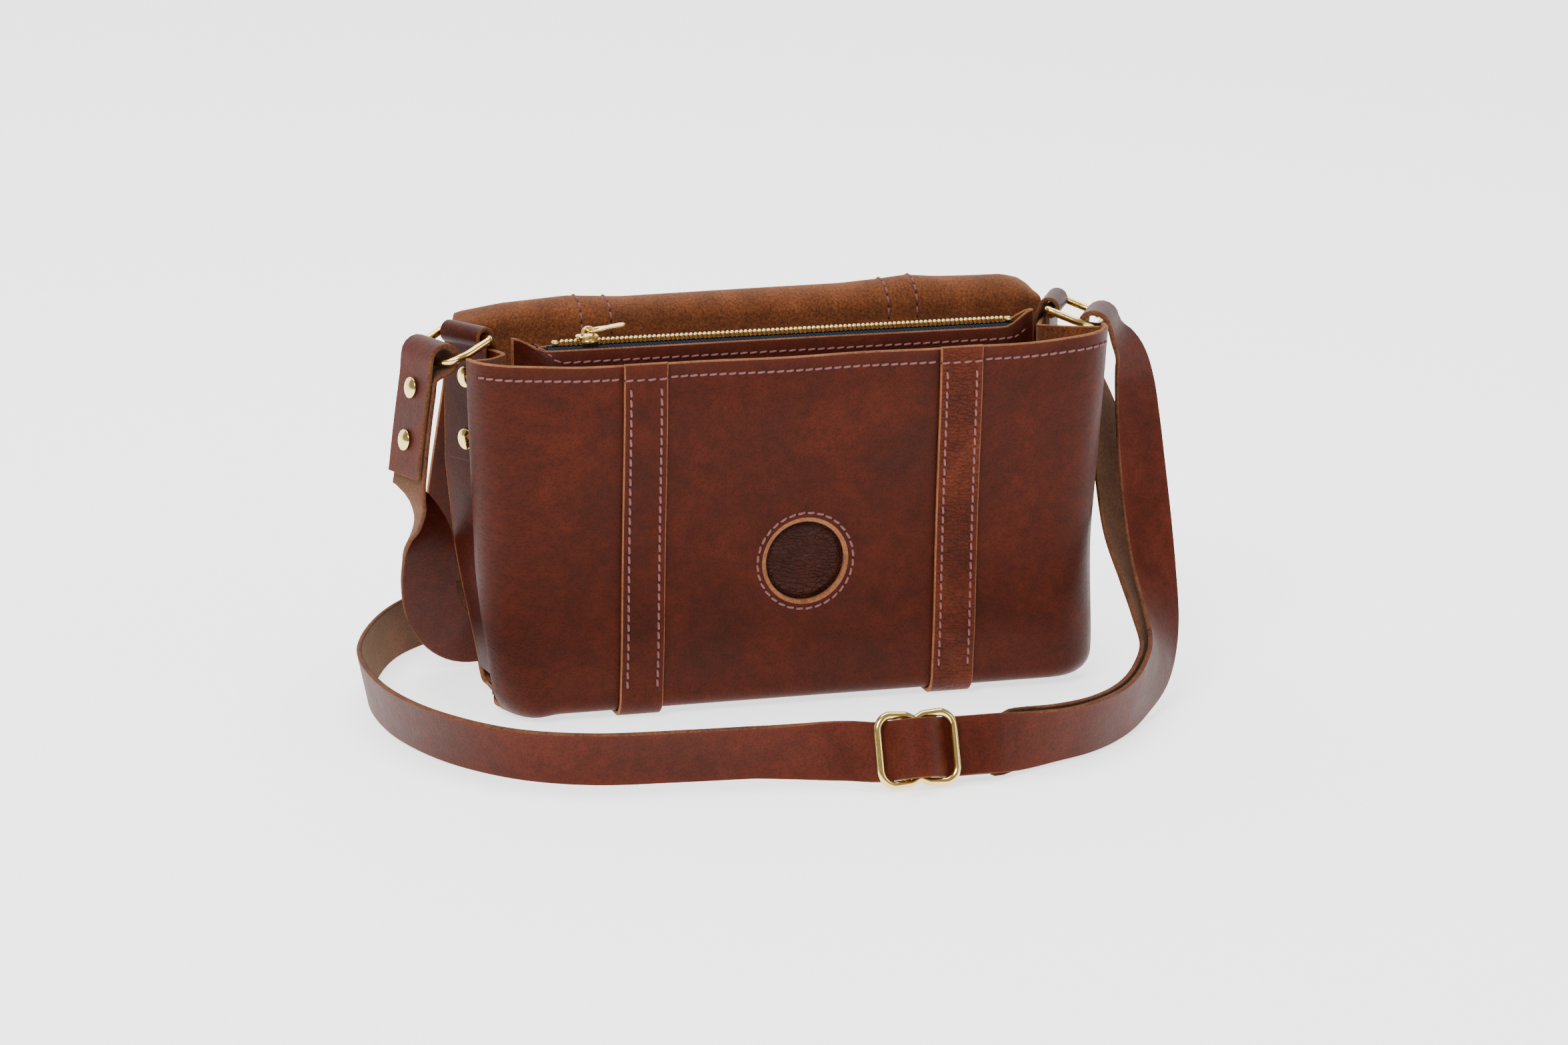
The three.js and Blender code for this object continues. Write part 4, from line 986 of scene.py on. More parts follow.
def front_line(points, out):
    """Places and normals on the front's outer face for a stitch line given as (x, z)."""
    place = []
    for x, z in points:
        half = taper(FRONT_SIDES, z, FRONT_HEIGHT)
        row = (front_y(z) + FRONT_OUT[1] * out, z + FRONT_OUT[2] * out, FRONT_OUT[1], FRONT_OUT[2])
        flat_half = half - FRONT_CORNER
        if abs(x) <= flat_half:
            place.append(wrap_point(row, out, x=x))
        else:
            turn = math.degrees((abs(x) - flat_half) / FRONT_CORNER)
            place.append(wrap_point(row, out, turn=min(turn, 90), side=math.copysign(1, x)))
    place = np.asarray(place)
    way = unit(np.gradient(place, axis=0))
    if abs(place[0][2] - place[-1][2]) > abs(place[0][0] - place[-1][0]):
        normals = unit(np.cross(np.tile((1.0, 0, 0), (len(place), 1)), way))
    else:
        normals = unit(np.cross(way, np.tile((0, 0, 1.0), (len(place), 1))))
    if normals[len(normals) // 2][1] > 0:
        normals = -normals
    return place, normals


def build_bands():
    """Bands round the front, bottom and back, one on each side of the middle."""
    out = GAP + BAND_LEATHER / 2
    for side, name in ((-1, "left"), (1, "right")):
        rows = section(out, 3.0)
        grid = []
        for row in rows:
            line = []
            for f in BAND_ACROSS:
                line.append(wrap_point(row, out, x=side * BAND_X + f * BAND_WIDTH / 2))
            grid.append(line)
        grid = np.asarray(grid)
        if side > 0:
            for i in range(len(rows)):
                z = grid[i, 4, 2]
                if grid[i, 4, 1] < 0 and z > 18:
                    wrinkle = 0.22 * (1 + math.sin(z * 0.9 + 1.3 * math.sin(z * 0.31)))
                    grid[i, 3:6, 1] -= wrinkle * smooth((158 - z) / 10)
        grid[0, :, 2] += BAND_ABOVE
        material = GRAIN_WORN if side > 0 else GRAIN
        piece = shell(
            f"band_{name}", grid, BAND_LEATHER, [material, SUEDE, EDGE], (1, 0, 1, 1),
            seed=3 + side, face=surface_face(grid, FRONT_OUT),
        )
        finish_piece(piece, "bag", "grain", f"band_{name}")
        for f in BAND_THREADS:
            x = side * BAND_X + f * BAND_WIDTH / 2
            line = [(x, z) for z in np.linspace(150.5, 14, 40)]
            place, normals = front_line(line, GAP + BAND_LEATHER)
            piece = stitches(f"stitch_band_{name}_{'a' if f < 0 else 'b'}", place, normals)
            finish_piece(piece, "bag", "grain")
            back = [(x, back_y(z) + GAP + BAND_LEATHER + back_top(z), z)
                    for z in np.linspace(14, 150, 40)]
            piece = stitches(
                f"stitch_band_back_{name}_{'a' if f < 0 else 'b'}", back,
                np.tile((0, 1.0, 0), (40, 1)),
            )
            finish_piece(piece, "bag", "grain")


def surface_face(grid, outward_at_front):
    """Direction for shell's face argument: outward at the grid's middle, which is underneath."""
    normals = surface_normals(grid)
    sign = math.copysign(1, normals[4, grid.shape[1] // 2] @ np.asarray(outward_at_front))
    return normals[grid.shape[0] // 2, grid.shape[1] // 2] * sign


def build_front_stitches():
    """Line along the front's top, broken where it climbs onto the bands."""
    edges = sorted(s * BAND_X + f * (BAND_WIDTH / 2 + 0.8) for s in (-1, 1) for f in (-1, 1))
    stops = [-148.0, *edges, 148.0]
    for k, (start, stop) in enumerate(zip(stops, stops[1:])):
        out = GAP + BAND_LEATHER if k in (1, 3) else 0.0
        line = [(x, 154.0) for x in np.linspace(start + 0.5, stop - 0.5, 40)]
        place, normals = front_line(line, out)
        piece = stitches(f"stitch_front_top_{k}", place, normals)
        finish_piece(piece, "bag", "grain")
    circle = []
    for k in range(65):
        a = 2 * math.pi * k / 64
        x, z = MAGNET[0] + 22 * math.cos(a), MAGNET[1] + 22 * math.sin(a)
        circle.append((x, front_y(z), z))
    piece = stitches("stitch_magnet", circle, np.tile(FRONT_OUT, (65, 1)), 4.2)
    finish_piece(piece, "bag", "grain")


def build_magnet():
    """Dark creased disc in the front's round opening, and the patch that backs it inside."""
    centre = np.array((MAGNET[0], front_y(MAGNET[1]), MAGNET[1]))
    place = aimed(centre, FRONT_OUT)
    low, high = -3.3, -2.15
    profile = [(0.4, high), (4, high), (8, high - 0.05), (12, high - 0.1), (14.3, high - 0.2)]
    profile += [(15.6, mix(low, high, 0.62)), (16.4, mix(low, high, 0.25)), (17.2, low), (20, low)]
    profile += [(24.4, low), (25, low)]
    layers = [GRAIN_DARK, SUEDE, EDGE]
    cover = polar("magnet_cover_leather", profile, place, MAGNET_COVER, layers, 5, 72, 0.22)
    finish_piece(cover, "bag", "grain", "magnet_cover")
    depth = -LEATHER - GAP - MAGNET_COVER - MAGNET_DISC - 0.9
    flat = [(0.4, depth), (8, depth), (16, depth), (24.4, depth), (25, depth)]
    backing = polar("magnet_backing_leather", flat, place, MAGNET_COVER, [SUEDE, SUEDE, EDGE], 6)
    finish_piece(backing, "bag", "suede", "magnet_backing")


# ---------------------------------------------------------------- gussets and ring tabs


def gusset_plan(side, z):
    """Plan of a gusset at a height: from the front's turned edge, round the fold, to the back's."""
    front = np.array((taper(FRONT_SIDES, z, FRONT_HEIGHT) - 1.1, front_y(z) + FRONT_CORNER + 0.5))
    back = np.array((taper(BACK_SIDES, z, TAPER_HEIGHT) - 1.1, back_y(z) - BACK_CORNER - 0.5))
    fold = np.array((taper(VALLEY, z, TAPER_HEIGHT), 0.0))
    line = []
    for k in range(12):
        line.append(front + (fold - front) * (k / 12) * 0.93)
    start, stop = front + (fold - front) * 0.93, back + (fold - back) * 0.93
    for k in range(9):
        t = k / 8
        line.append((1 - t) ** 2 * start + 2 * t * (1 - t) * fold + t * t * stop)
    for k in range(1, 13):
        line.append(stop + (back - stop) * (k / 12))
    return [(side * p[0], p[1]) for p in line]


def build_gussets():
    """V gussets that close both ends of the bag."""
    heights = edged(GUSSET_TOP, GUSSET_FOOT, 4.0)
    for side, name in ((-1, "left"), (1, "right")):
        grid = []
        for z in heights:
            row = []
            for x, y in gusset_plan(side, z):
                lift = 3.0 * smooth((-y - 8) / 20) * smooth((z - 132) / 28)
                lift += 0.5 * ripple(9 * y, 30 * side, 3.0) * smooth((z - 150) / 10)
                row.append(settle((x, y, z + lift)))
            grid.append(row)
        piece = shell(
            f"gusset_{name}_leather", grid, GUSSET_LEATHER, [GRAIN, SUEDE, EDGE], seed=7 + side,
            face=(side, 0, 0),
        )
        finish_piece(piece, "bag", "grain", f"gusset_{name}")


def ring_frame(side):
    """Frame of a ring tab: x outwards along it, y up and z across."""
    out = Vector((side * math.cos(RING_SPLAY), -math.sin(RING_SPLAY), 0))
    up = Vector((0, 0, 1))
    return matrix_of((out, up, out.cross(up)), (side * RING[0], RING[1], 0))


def end_frame():
    """Frame of the strap's folded end on the left ring."""
    turn = Matrix.Rotation(-END_TURN, 4, "Z") @ ring_frame(-1)
    turn.translation = Vector((*END_PLACE, 0))
    return turn


def slider_frame():
    """Frame of the strap slider, which leans back."""
    return Matrix.Translation(SLIDER_MIDDLE) @ Matrix.Rotation(SLIDER_LEAN, 4, "X")


def build_tabs():
    """Tabs rolled round the rings' bars, with both legs down the gusset, and their rivets."""
    leg = GUSSET_LEATHER / 2 + 2 * GAP + TAB_LEATHER / 2
    outer, inner = leg - ROLL_OUT, -leg - ROLL_OUT
    for side, name in ((-1, "left"), (1, "right")):
        frame_of_ring = ring_frame(side)
        line = [(outer, z) for z in edged(TAB_FOOT, RING[2] - ROLL - 1.6, 3.0)]
        line += arc(0, RING[2], ROLL, -96, 180, 26)
        line += [(inner, z) for z in np.linspace(RING[2] - ROLL, TAB_FOOT, 18)]
        line = resample(line, step=1.6)
        widths = [w * TAB_WIDTH / 2 for w in (-1, -0.95, -0.85, -0.5, 0, 0.5, 0.85, 0.95, 1)]
        grid = [[frame_of_ring @ Vector((u, z, w)) for w in widths] for u, z in line]
        grid = np.asarray([[tuple(p) for p in row] for row in grid])
        middle = np.argmax(grid[:, 4, 2])
        normals = surface_normals(grid)
        if normals[middle, 4][2] < 0:
            normals = -normals
        piece = shell(
            f"ring_tab_{name}_leather", grid, TAB_LEATHER, [GRAIN, SUEDE, EDGE_DARK], seed=11 + side,
            normals=normals,
        )
        finish_piece(piece, "bag", "grain", f"ring_tab_{name}")
        out = frame_of_ring.to_3x3() @ Vector((1, 0, 0))
        for z, level in zip(TAB_RIVETS, ("upper", "lower")):
            point = frame_of_ring @ Vector((-ROLL_OUT, z, 0))
            node = f"tab_rivet_{name}_{level}"
            rivet(node + "_caps", point, out, 8.1, "bag", node)


def build_rings():
    """D-rings, drooping from their bars."""
    half, round_, heel = RING_HALF_WIDTH, RING_ROUND, 1.5
    outline = [(0, -half / 2), (0, 0), (0, half / 2)]
    outline += arc(heel, half - heel, heel, 180, 90, 6)
    outline += arc(RING_DEPTH - round_, half - round_, round_, 90, 0, 16)
    outline += arc(RING_DEPTH - round_, round_ - half, round_, 0, -90, 16)
    outline += arc(heel, heel - half, heel, 270, 180, 6)
    droop = Matrix.Translation((0, RING[2], 0)) @ Matrix.Rotation(-RING_DROOP, 4, "Z")
    for side, name in ((-1, "left"), (1, "right")):
        place = ring_frame(side) @ droop
        points = [tuple(place @ Vector((x, 0, z))) for x, z in outline]
        piece = wire(f"ring_{name}", points, WIRE, GOLD, count=160)
        finish_piece(piece, f"d_ring_{name}", "brass", f"d_ring_{name}")


# ---------------------------------------------------------------- zipped pouch


POUCH_WALL = [(1.4, 16), (5, 36), (8.5, 60), (9.6, 100), (9.5, 145), (8.4, 155.5), (5.8, 160.4)]
POUCH_HALF = 120.5
TAPE_PROFILE = [(5.4, 150), (4.5, 152.8), (3.6, 155.6), (2.7, 158.4), (2.1, 160.4), (1.9, 161.1)]


def pouch_y(x, z_share, y):
    """Depth of the pouch's wall: it closes to a seam at its ends and beyond the zip."""
    ends = smooth((POUCH_HALF - abs(x)) / 20)
    y = mix(1.1, y, 0.12 + 0.88 * ends)
    past = max(ZIP_FROM - 6 - x, x - ZIP_TO - 6, 0) / 7.0
    closing = math.sqrt(max(1 - min(past, 1) ** 2, 0))
    return mix(y, mix(1.1, y, closing), z_share)


def build_pouch():
    """Zipped pouch: two walls that meet below and at the ends, with stitches, tapes and teeth."""
    shape = curve_through(POUCH_WALL, 46)[::-1]
    tip = [shape[0] + (shape[1] - shape[0]) * f for f in (0.28, 0.6)]
    shape = np.vstack([shape[:1], tip, shape[1:]])
    xs = edged(-POUCH_HALF, POUCH_HALF, 3.5)
    for side, name in ((-1, "front"), (1, "back")):
        grid = []
        for y, z in shape:
            share = smooth((z - 140) / 18)
            row = []
            for x in xs:
                wave = 0.35 * ripple(x, z * 2, 6.0 + side) * smooth((z - 120) / 30)
                rise = (6.5 if x > 0 else 5.5) * smooth((abs(x) - 106) / 14.5) * share
                row.append((x, side * pouch_y(x, share, y), z + wave * share + rise))
            grid.append(row)
        piece = shell(
            f"pouch_{name}_leather", grid, POUCH_LEATHER, [GRAIN, SUEDE, EDGE], seed=15 + side,
            face=(0, side, 0), raw_rows=1,
        )
        finish_piece(piece, "bag", "grain", f"pouch_{name}_panel")
        line, normals = [], []
        for x in np.linspace(-110, 117, 90):
            y = pouch_y(x, 1.0, 8.55) + POUCH_LEATHER / 2
            rise = 8.0 * smooth((ZIP_FROM - 1 - x) / 10) + 4.0 * smooth((x - ZIP_TO - 3) / 8)
            y = mix(y, 2.6, rise / 12)
            line.append((x, side * y, 155.4 + rise * 0.8))
            normals.append((0, side, 0.1))
        piece = stitches(f"stitch_pouch_{name}", line, normals, 4.4)
        finish_piece(piece, "bag", "grain")
        xs_tape = edged(ZIP_FROM - 5.5, ZIP_TO + 5.5, 4.0)
        grid = [[(x, side * y, z) for x in xs_tape] for y, z in TAPE_PROFILE]
        tape = shell(f"tape_{name}", grid, 0.8, [TAPE, TAPE, TAPE], seed=19 + side, face=(0, side, 0))
        finish_piece(tape, "bag", "tape", f"zip_tape_{name}")
        build_teeth(side, name)
    for x, name in ((ZIP_FROM - 2, "left"), (ZIP_TO + 2, "right")):
        stop = block(f"stop_{name}", (3, 4.4, 2), (x, 0, ZIP_TOP - 1.0), 0.45, GOLD_SATIN)
        finish_piece(stop, "bag", "brass", f"zip_stop_{name}")


def build_teeth(side, name):
    """Row of separate teeth, each with chamfered edges and a waist like a cast tooth."""
    pitch, wide, shoulder, cut = 2.1, 0.52, 0.62, 0.25
    top, low = ZIP_TOP, ZIP_TOP - 2.0
    stations = [(-0.35, 0.30), (0.1, wide), (0.9, wide)]
    stations += [(1.25, shoulder), (2.2, shoulder), (2.45, 0.4)]
    points, faces = [], []
    count = int((ZIP_TO - ZIP_FROM) / pitch)
    shift = 0 if side < 0 else pitch / 2
    for k in range(count):
        x = ZIP_FROM + 0.6 + shift + k * pitch
        base = len(points)
        for y, w in stations:
            ring = [(-w, low + cut), (-w, top - cut), (-w + cut, top), (w - cut, top),
                    (w, top - cut), (w, low + cut), (w - cut, low), (-w + cut, low)]
            points.extend((x + dx, side * y, z) for dx, z in ring)
        for i in range(len(stations) - 1):
            for q in range(8):
                a, b = base + i * 8 + q, base + i * 8 + (q + 1) % 8
                faces.append((a, b, b + 8, a + 8))
        faces.append(tuple(base + q for q in range(8)))
        faces.append(tuple(base + (len(stations) - 1) * 8 + q for q in range(8)))
    piece = tidy_normals(new_mesh(f"teeth_{name}", points, faces, [GOLD_SATIN]), flat=True)
    finish_piece(piece, "bag", "brass", f"zip_teeth_{name}")


def block(name, size, centre, round_, material):
    """Rounded block."""
    clean = bmesh.new()
    bmesh.ops.create_cube(clean, size=1.0)
    bmesh.ops.scale(clean, vec=[c * MM for c in size], verts=clean.verts)
    bmesh.ops.bevel(clean, geom=clean.edges[:], offset=round_ * MM, segments=3, affect="EDGES")
    bmesh.ops.translate(clean, vec=(np.asarray(centre) + SHIFT) * MM, verts=clean.verts)
    mesh = bpy.data.meshes.new(name)
    clean.to_mesh(mesh)
    clean.free()
    mesh.materials.append(material)
    mesh.polygons.foreach_set("use_smooth", [True] * len(mesh.polygons))
    return add_object(name, mesh)


def plate(name, outlines, thickness, place, material, round_=0.2):
    """Flat plate from closed outlines in the local x, y plane; inner outlines are holes."""
    curve = bpy.data.curves.new(name, "CURVE")
    curve.dimensions = "2D"
    curve.fill_mode = "BOTH"
    curve.extrude = (thickness / 2 - round_) * MM
    curve.bevel_depth = round_ * MM
    curve.bevel_resolution = 2
    curve.offset = -round_ * MM
    for outline in outlines:
        spline = curve.splines.new("POLY")
        spline.points.add(len(outline) - 1)
        for point, (x, y) in zip(spline.points, outline):
            point.co = (x * MM, y * MM, 0, 1)
        spline.use_cyclic_u = True
    draft = add_object(name + "_outline", curve)
    mesh = bpy.data.meshes.new_from_object(draft)
    bpy.data.objects.remove(draft)
    bpy.data.curves.remove(curve)
    metres = place.copy()
    metres.translation = (metres.translation + Vector(SHIFT)) * MM
    mesh.transform(metres)
    mesh.materials.clear()
    mesh.materials.append(material)
    mesh.name = name
    return add_object(name, mesh)


SLIDER_X = -86.0
PULL_HINGE_Z = 167.1


def build_slider():
    """Zip slider with its flanges, staple and foot, and the flat pull."""
    roof = ZIP_TOP + GAP
    outline = arc(-2.1, 0, 3.7, 120, 240, 10) + arc(2.9, -1.6, 1.5, -80, 0, 6)
    outline += arc(2.9, 1.6, 1.5, 0, 80, 6)
    top = plate("slider_top", [outline], 1.5, Matrix.Translation((SLIDER_X, 0, roof + 0.85)), GOLD, 0.45)
    parts = [top]
    for side in (-1, 1):
        parts.append(block("flange", (7.4, 1.4, 3.2), (SLIDER_X, side * 3.15, roof - 1.1), 0.45, GOLD))
    staple = arc(0, 2.1, 2.3, 180, 0, 12)
    staple = [(-2.6, 0.2), (-2.6, 1.2), *staple, (2.6, 1.2), (2.6, 0.2)]
    points = [(SLIDER_X + x, 0, roof + 1.2 + 0.85 * z) for x, z in staple]
    parts.append(wire("staple", points, 0.75, GOLD, closed=False, sides=12, count=40))
    piece = combine("slider_body", parts)
    finish_piece(piece, "zip_slider", "brass", "zip_slider")
    foot = block("slider_foot", (8.6, 1.6, 1.2), (SLIDER_X, 0, ZIP_TOP - 3.7), 0.3, GOLD_SATIN)
    finish_piece(foot, "zip_slider", "brass", "zip_slider_foot")
    tilt = Matrix.Rotation(math.radians(-8), 4, "Y")
    place = Matrix.Translation((SLIDER_X, 0, PULL_HINGE_Z)) @ tilt
    outline = arc(14.2, 0, 2.7, -80, 80, 12) + [(9, 2.3), (5.4, 3.3)]
    outline += arc(1.2, 1.7, 1.7, 80, 175, 6) + arc(1.2, -1.7, 1.7, 185, 280, 6)
    outline += [(5.4, -3.3), (9, -2.3)]
    eye = arc(3.4, 0, 1.5, 90, -90, 8) + arc(1.8, 0, 1.5, -90, -270, 8)
    piece = plate("pull_tongue", [outline, eye], 1.1, place, GOLD, 0.3)
    finish_piece(piece, "zip_pull", "brass", "zip_pull")


# ---------------------------------------------------------------- flap

ARCH_CENTRE = (HINGE[0] + ARCH, HINGE[1])
ARCH_LENGTH = math.radians(ARCH_TURN) * ARCH
FLAP_SKYLINE = [
    (-139, 166.0), (-130, 168.4), (-112, 171.0), (-82, 172.9), (-57, 171.3), (3, 171.9), (47, 172.2),
    (66, 173.4), (78, 174.5), (92, 173.2), (109, 172.7), (124, 172.6), (131, 170.8), (139, 165.5),
]


def skyline(x):
    """Height of the open flap's crest above its even shape."""
    xs, zs = zip(*FLAP_SKYLINE)
    return float(np.interp(x, xs, zs)) - 173.2


def flap_line(s):
    """Even middle line of the flap at a distance from the hinge line: (y, z)."""
    if s < ARCH_LENGTH:
        a = math.radians(180) - s / ARCH
        return ARCH_CENTRE[0] + ARCH * math.cos(a), ARCH_CENTRE[1] + ARCH * math.sin(a)
    a = math.radians(180 - ARCH_TURN)
    y0 = ARCH_CENTRE[0] + ARCH * math.cos(a)
    z0 = ARCH_CENTRE[1] + ARCH * math.sin(a)
    d = s - ARCH_LENGTH
    return y0 + d * math.sin(a), z0 - d * math.cos(a)


def flap_half(s):
    """Half the flap's width at a distance from the hinge line, with its rounded corners."""
    if s < ARCH_LENGTH:
        return mix(SEAM_HALF, 132.0, smooth(s / ARCH_LENGTH))
    whole = mix(132.0, 133.0, (s - ARCH_LENGTH) / FLAP_DROP)
    bite = max(FLAP_CORNER - (ARCH_LENGTH + FLAP_DROP - s), 0)
    return whole - FLAP_CORNER + math.sqrt(max(FLAP_CORNER ** 2 - bite ** 2, 0))


def flap_point(x, s):
    """Point of the flap's middle surface, with its uneven crest and slow waves."""
    y, z = flap_line(s)
    crest = smooth(s / 15.0) * smooth((ARCH_LENGTH + 45 - s) / 50)
    z += skyline(x) * crest
    z += 0.7 * ripple(x * 1.3, s * 1.2, 8.0) * smooth((s - 40) / 40)
    y += 0.5 * ripple(x, s, 9.0) * smooth((s - 40) / 40)
    return np.array((x, y, z))


def build_flap(seam_row, seam_normals):
    """Flap from the back's top edge, over the arch and down behind, in five stretches by body."""
    whole = ARCH_LENGTH + FLAP_DROP
    on_arch = [math.radians(t) * ARCH for t in (37.5, 112.5)]
    top_middle = ARCH_LENGTH + FLAP_TOP_LENGTH / 2
    past_bend = ARCH_LENGTH + FLAP_TOP_LENGTH + 34.0
    stops = [0.0, on_arch[0], on_arch[1], top_middle, past_bend, whole]
    rows, marks = [], [0]
    for k, (start, stop) in enumerate(zip(stops, stops[1:])):
        step = 1.6 if stop <= on_arch[1] else 3.5
        count = max(int((stop - start) / step), 2)
        values = [mix(start, stop, i / count) for i in range(1, count + 1)]
        if k == 4:
            corner = [whole - FLAP_CORNER * (1 - math.sin(math.radians(t))) for t in range(0, 91, 9)]
            values = list(np.linspace(start, whole - FLAP_CORNER, 14))[1:-1] + corner
        rows.extend(values)
        marks.append(len(rows))
    fractions = [mix(-1, 1, k / FLAT_COLUMNS) for k in range(FLAT_COLUMNS + 1)]
    grid = [seam_row] + [[flap_point(f * flap_half(s), s) for f in fractions] for s in rows]
    grid = np.asarray(grid)
    normals = surface_normals(grid)
    if normals[0, 20] @ np.array((0, 1.0, 0)) < 0:
        normals = -normals
    normals[0] = seam_normals if seam_normals[20][1] > 0 else -seam_normals

    def middle(s):
        return (0, *flap_line(s))

    seam_middle = (0, HINGE[0], 158.2)
    bend = ARCH_LENGTH + FLAP_TOP_LENGTH
    pieces = [
        ("flap_a", "bag", "flap_fold_lower", seam_middle, middle(on_arch[0] - 1), ["flap_fold_lower"]),
        ("flap_b", "flap_fold_lower", "flap_fold_upper",
         middle(on_arch[0] + 3), middle(on_arch[1] - 3), ["flap_fold_upper"]),
        ("flap_c", "flap_fold_upper", "flap_top",
         middle(on_arch[1] + 2), middle(ARCH_LENGTH + 9), []),
        ("flap_d", "flap_top", "flap_front", middle(bend - 12), middle(bend + 12), ["flap_top"]),
        ("flap_e", None, "flap_front", None, None, ["flap_front"]),
    ]
    running = lengths(grid[:, FLAT_COLUMNS // 2])
    for k, (name, low, high, start, stop, nodes) in enumerate(pieces):
        i0, i1 = marks[k], marks[k + 1]
        piece = shell(
            name, grid[i0:i1 + 1], LEATHER, [GRAIN, SUEDE, EDGE], (0, int(k == 4), 1, 1),
            seed=23, normals=normals[i0:i1 + 1], start=running[i0],
        )
        bands = flap_bands(name, grid, normals, i0, i1, k)
        if k == 4:
            finish_piece(piece, high, "grain", *nodes)
        else:
            finish_bend(piece, low, high, start, stop, "grain", *nodes)
        for side, band, threads in bands:
            label = "left" if side < 0 else "right"
            node = {3: [f"flap_top_band_{label}"], 4: [f"flap_front_band_{label}"]}.get(k, [])
            for made in [band, *threads]:
                stands_for = node if made is band else []
                if k == 4:
                    finish_piece(made, high, "grain", *stands_for)
                else:
                    finish_bend(made, low, high, start, stop, "grain", *stands_for)
    build_flap_magnet()


def flap_bands(name, grid, normals, i0, i1, order):
    """Bands under one stretch of the flap, with the stitches that show on its suede side."""

    def place_on(i, side, share):
        x = side * BAND_X + share * BAND_WIDTH / 2
        at, way = (
            np.array([np.interp(x, grid[i][:, 0], source[i][:, c]) for c in range(3)])
            for source in (grid, normals)
        )
        return at, unit(way)

    made = []
    for side in (-1, 1):
        label = "left" if side < 0 else "right"
        depth = LEATHER / 2 + GAP + BAND_LEATHER / 2
        line, line_normals, threads = [], [], ([], [])
        tops = ([], [])
        for i in range(i0, i1 + 1):
            row, row_normals = [], []
            for f in BAND_ACROSS:
                at, way = place_on(i, side, f)
                row.append(at + way * depth)
                row_normals.append(way)
            line.append(row)
            line_normals.append(row_normals)
            for q, f in enumerate(BAND_THREADS):
                at, way = place_on(i, side, f)
                threads[q].append(at - way * LEATHER / 2)
                tops[q].append(-way)
        if order == 4:
            line, line_normals = line[:-1], line_normals[:-1]
        band = shell(
            f"{name}_band_{label}", line, BAND_LEATHER, [GRAIN, SUEDE, EDGE],
            (0, int(order == 4), 1, 1), seed=29 + side, normals=line_normals,
        )
        rows = [
            stitches(f"{name}_stitch_{label}_{q}", threads[q], tops[q], STITCH_PITCH)
            for q in range(2) if lengths(threads[q])[-1] > STITCH_PITCH
        ]
        made.append((side, band, rows))
    return made


def build_flap_magnet():
    """Round patch over the flap's magnet, on its suede side near its free end."""
    s = ARCH_LENGTH + FLAP_DROP - 24
    y, z = flap_line(s)
    a = math.radians(180 - ARCH_TURN)
    above = Vector((0, math.cos(a), math.sin(a)))
    height = LEATHER / 2 + GAP
    profile = [(0.4, height + 3.3), (8, height + 3.3), (13, height + 3.2), (15.2, height + 2.5)]
    profile += [(16.4, height + 1.2), (17.4, height + 0.75), (20.5, height + 0.7), (22, height + 0.7)]
    place = aimed((MAGNET[0], y, z), above)
    patch = polar("flap_magnet_leather", profile, place, MAGNET_COVER, [SUEDE, SUEDE, EDGE], 8, 64, 0.1)
    finish_piece(patch, "flap_front", "suede", "flap_magnet_patch")


# ---------------------------------------------------------------- strap

END_PROFILE = [(10.9, 106), (9.0, 121), (7.0, 135), (5.7, 143.3), (4.6, 151)]
END_PROFILE += arc(-2.7, 157.8, 6.7, 0, 180, 8)
END_PROFILE += [(-8.0, 154.6), (-4.5, 152.2), (-0.5, 151), (1.7, 149.8), (2.9, 143), (4.2, 135)]
END_PROFILE += [(6.2, 121), (8.1, 105.2)]
END_RIVETS = [(4.1, 144.5), (7.5, 121.5)]
LOOP_PROFILE = arc(20.8, 157, 6.8, 26, 180, 8) + [(13.9, 150)]
ANCHOR_PROFILE = [(37, 9.6), (21.5, 9.4), (13.4, 7.3), (8.4, 2.6)]
ANCHOR_PROFILE += arc(0, 0, WIRE + GAP + LEATHER / 2, -50, -270, 8)
ANCHOR_PROFILE += [(4.4, 3.9), (9, 9), (14, 11.4), (22, 12.3), (35, 12.4)]
ANCHOR_WIDTH = 20.4
STRAP_STEP = 2.6
BEHIND_BAR = WIRE + LEATHER / 2 + 0.9
OVER_FOLD = WIRE + GAP + LEATHER / 2 + LEATHER + 2 * GAP

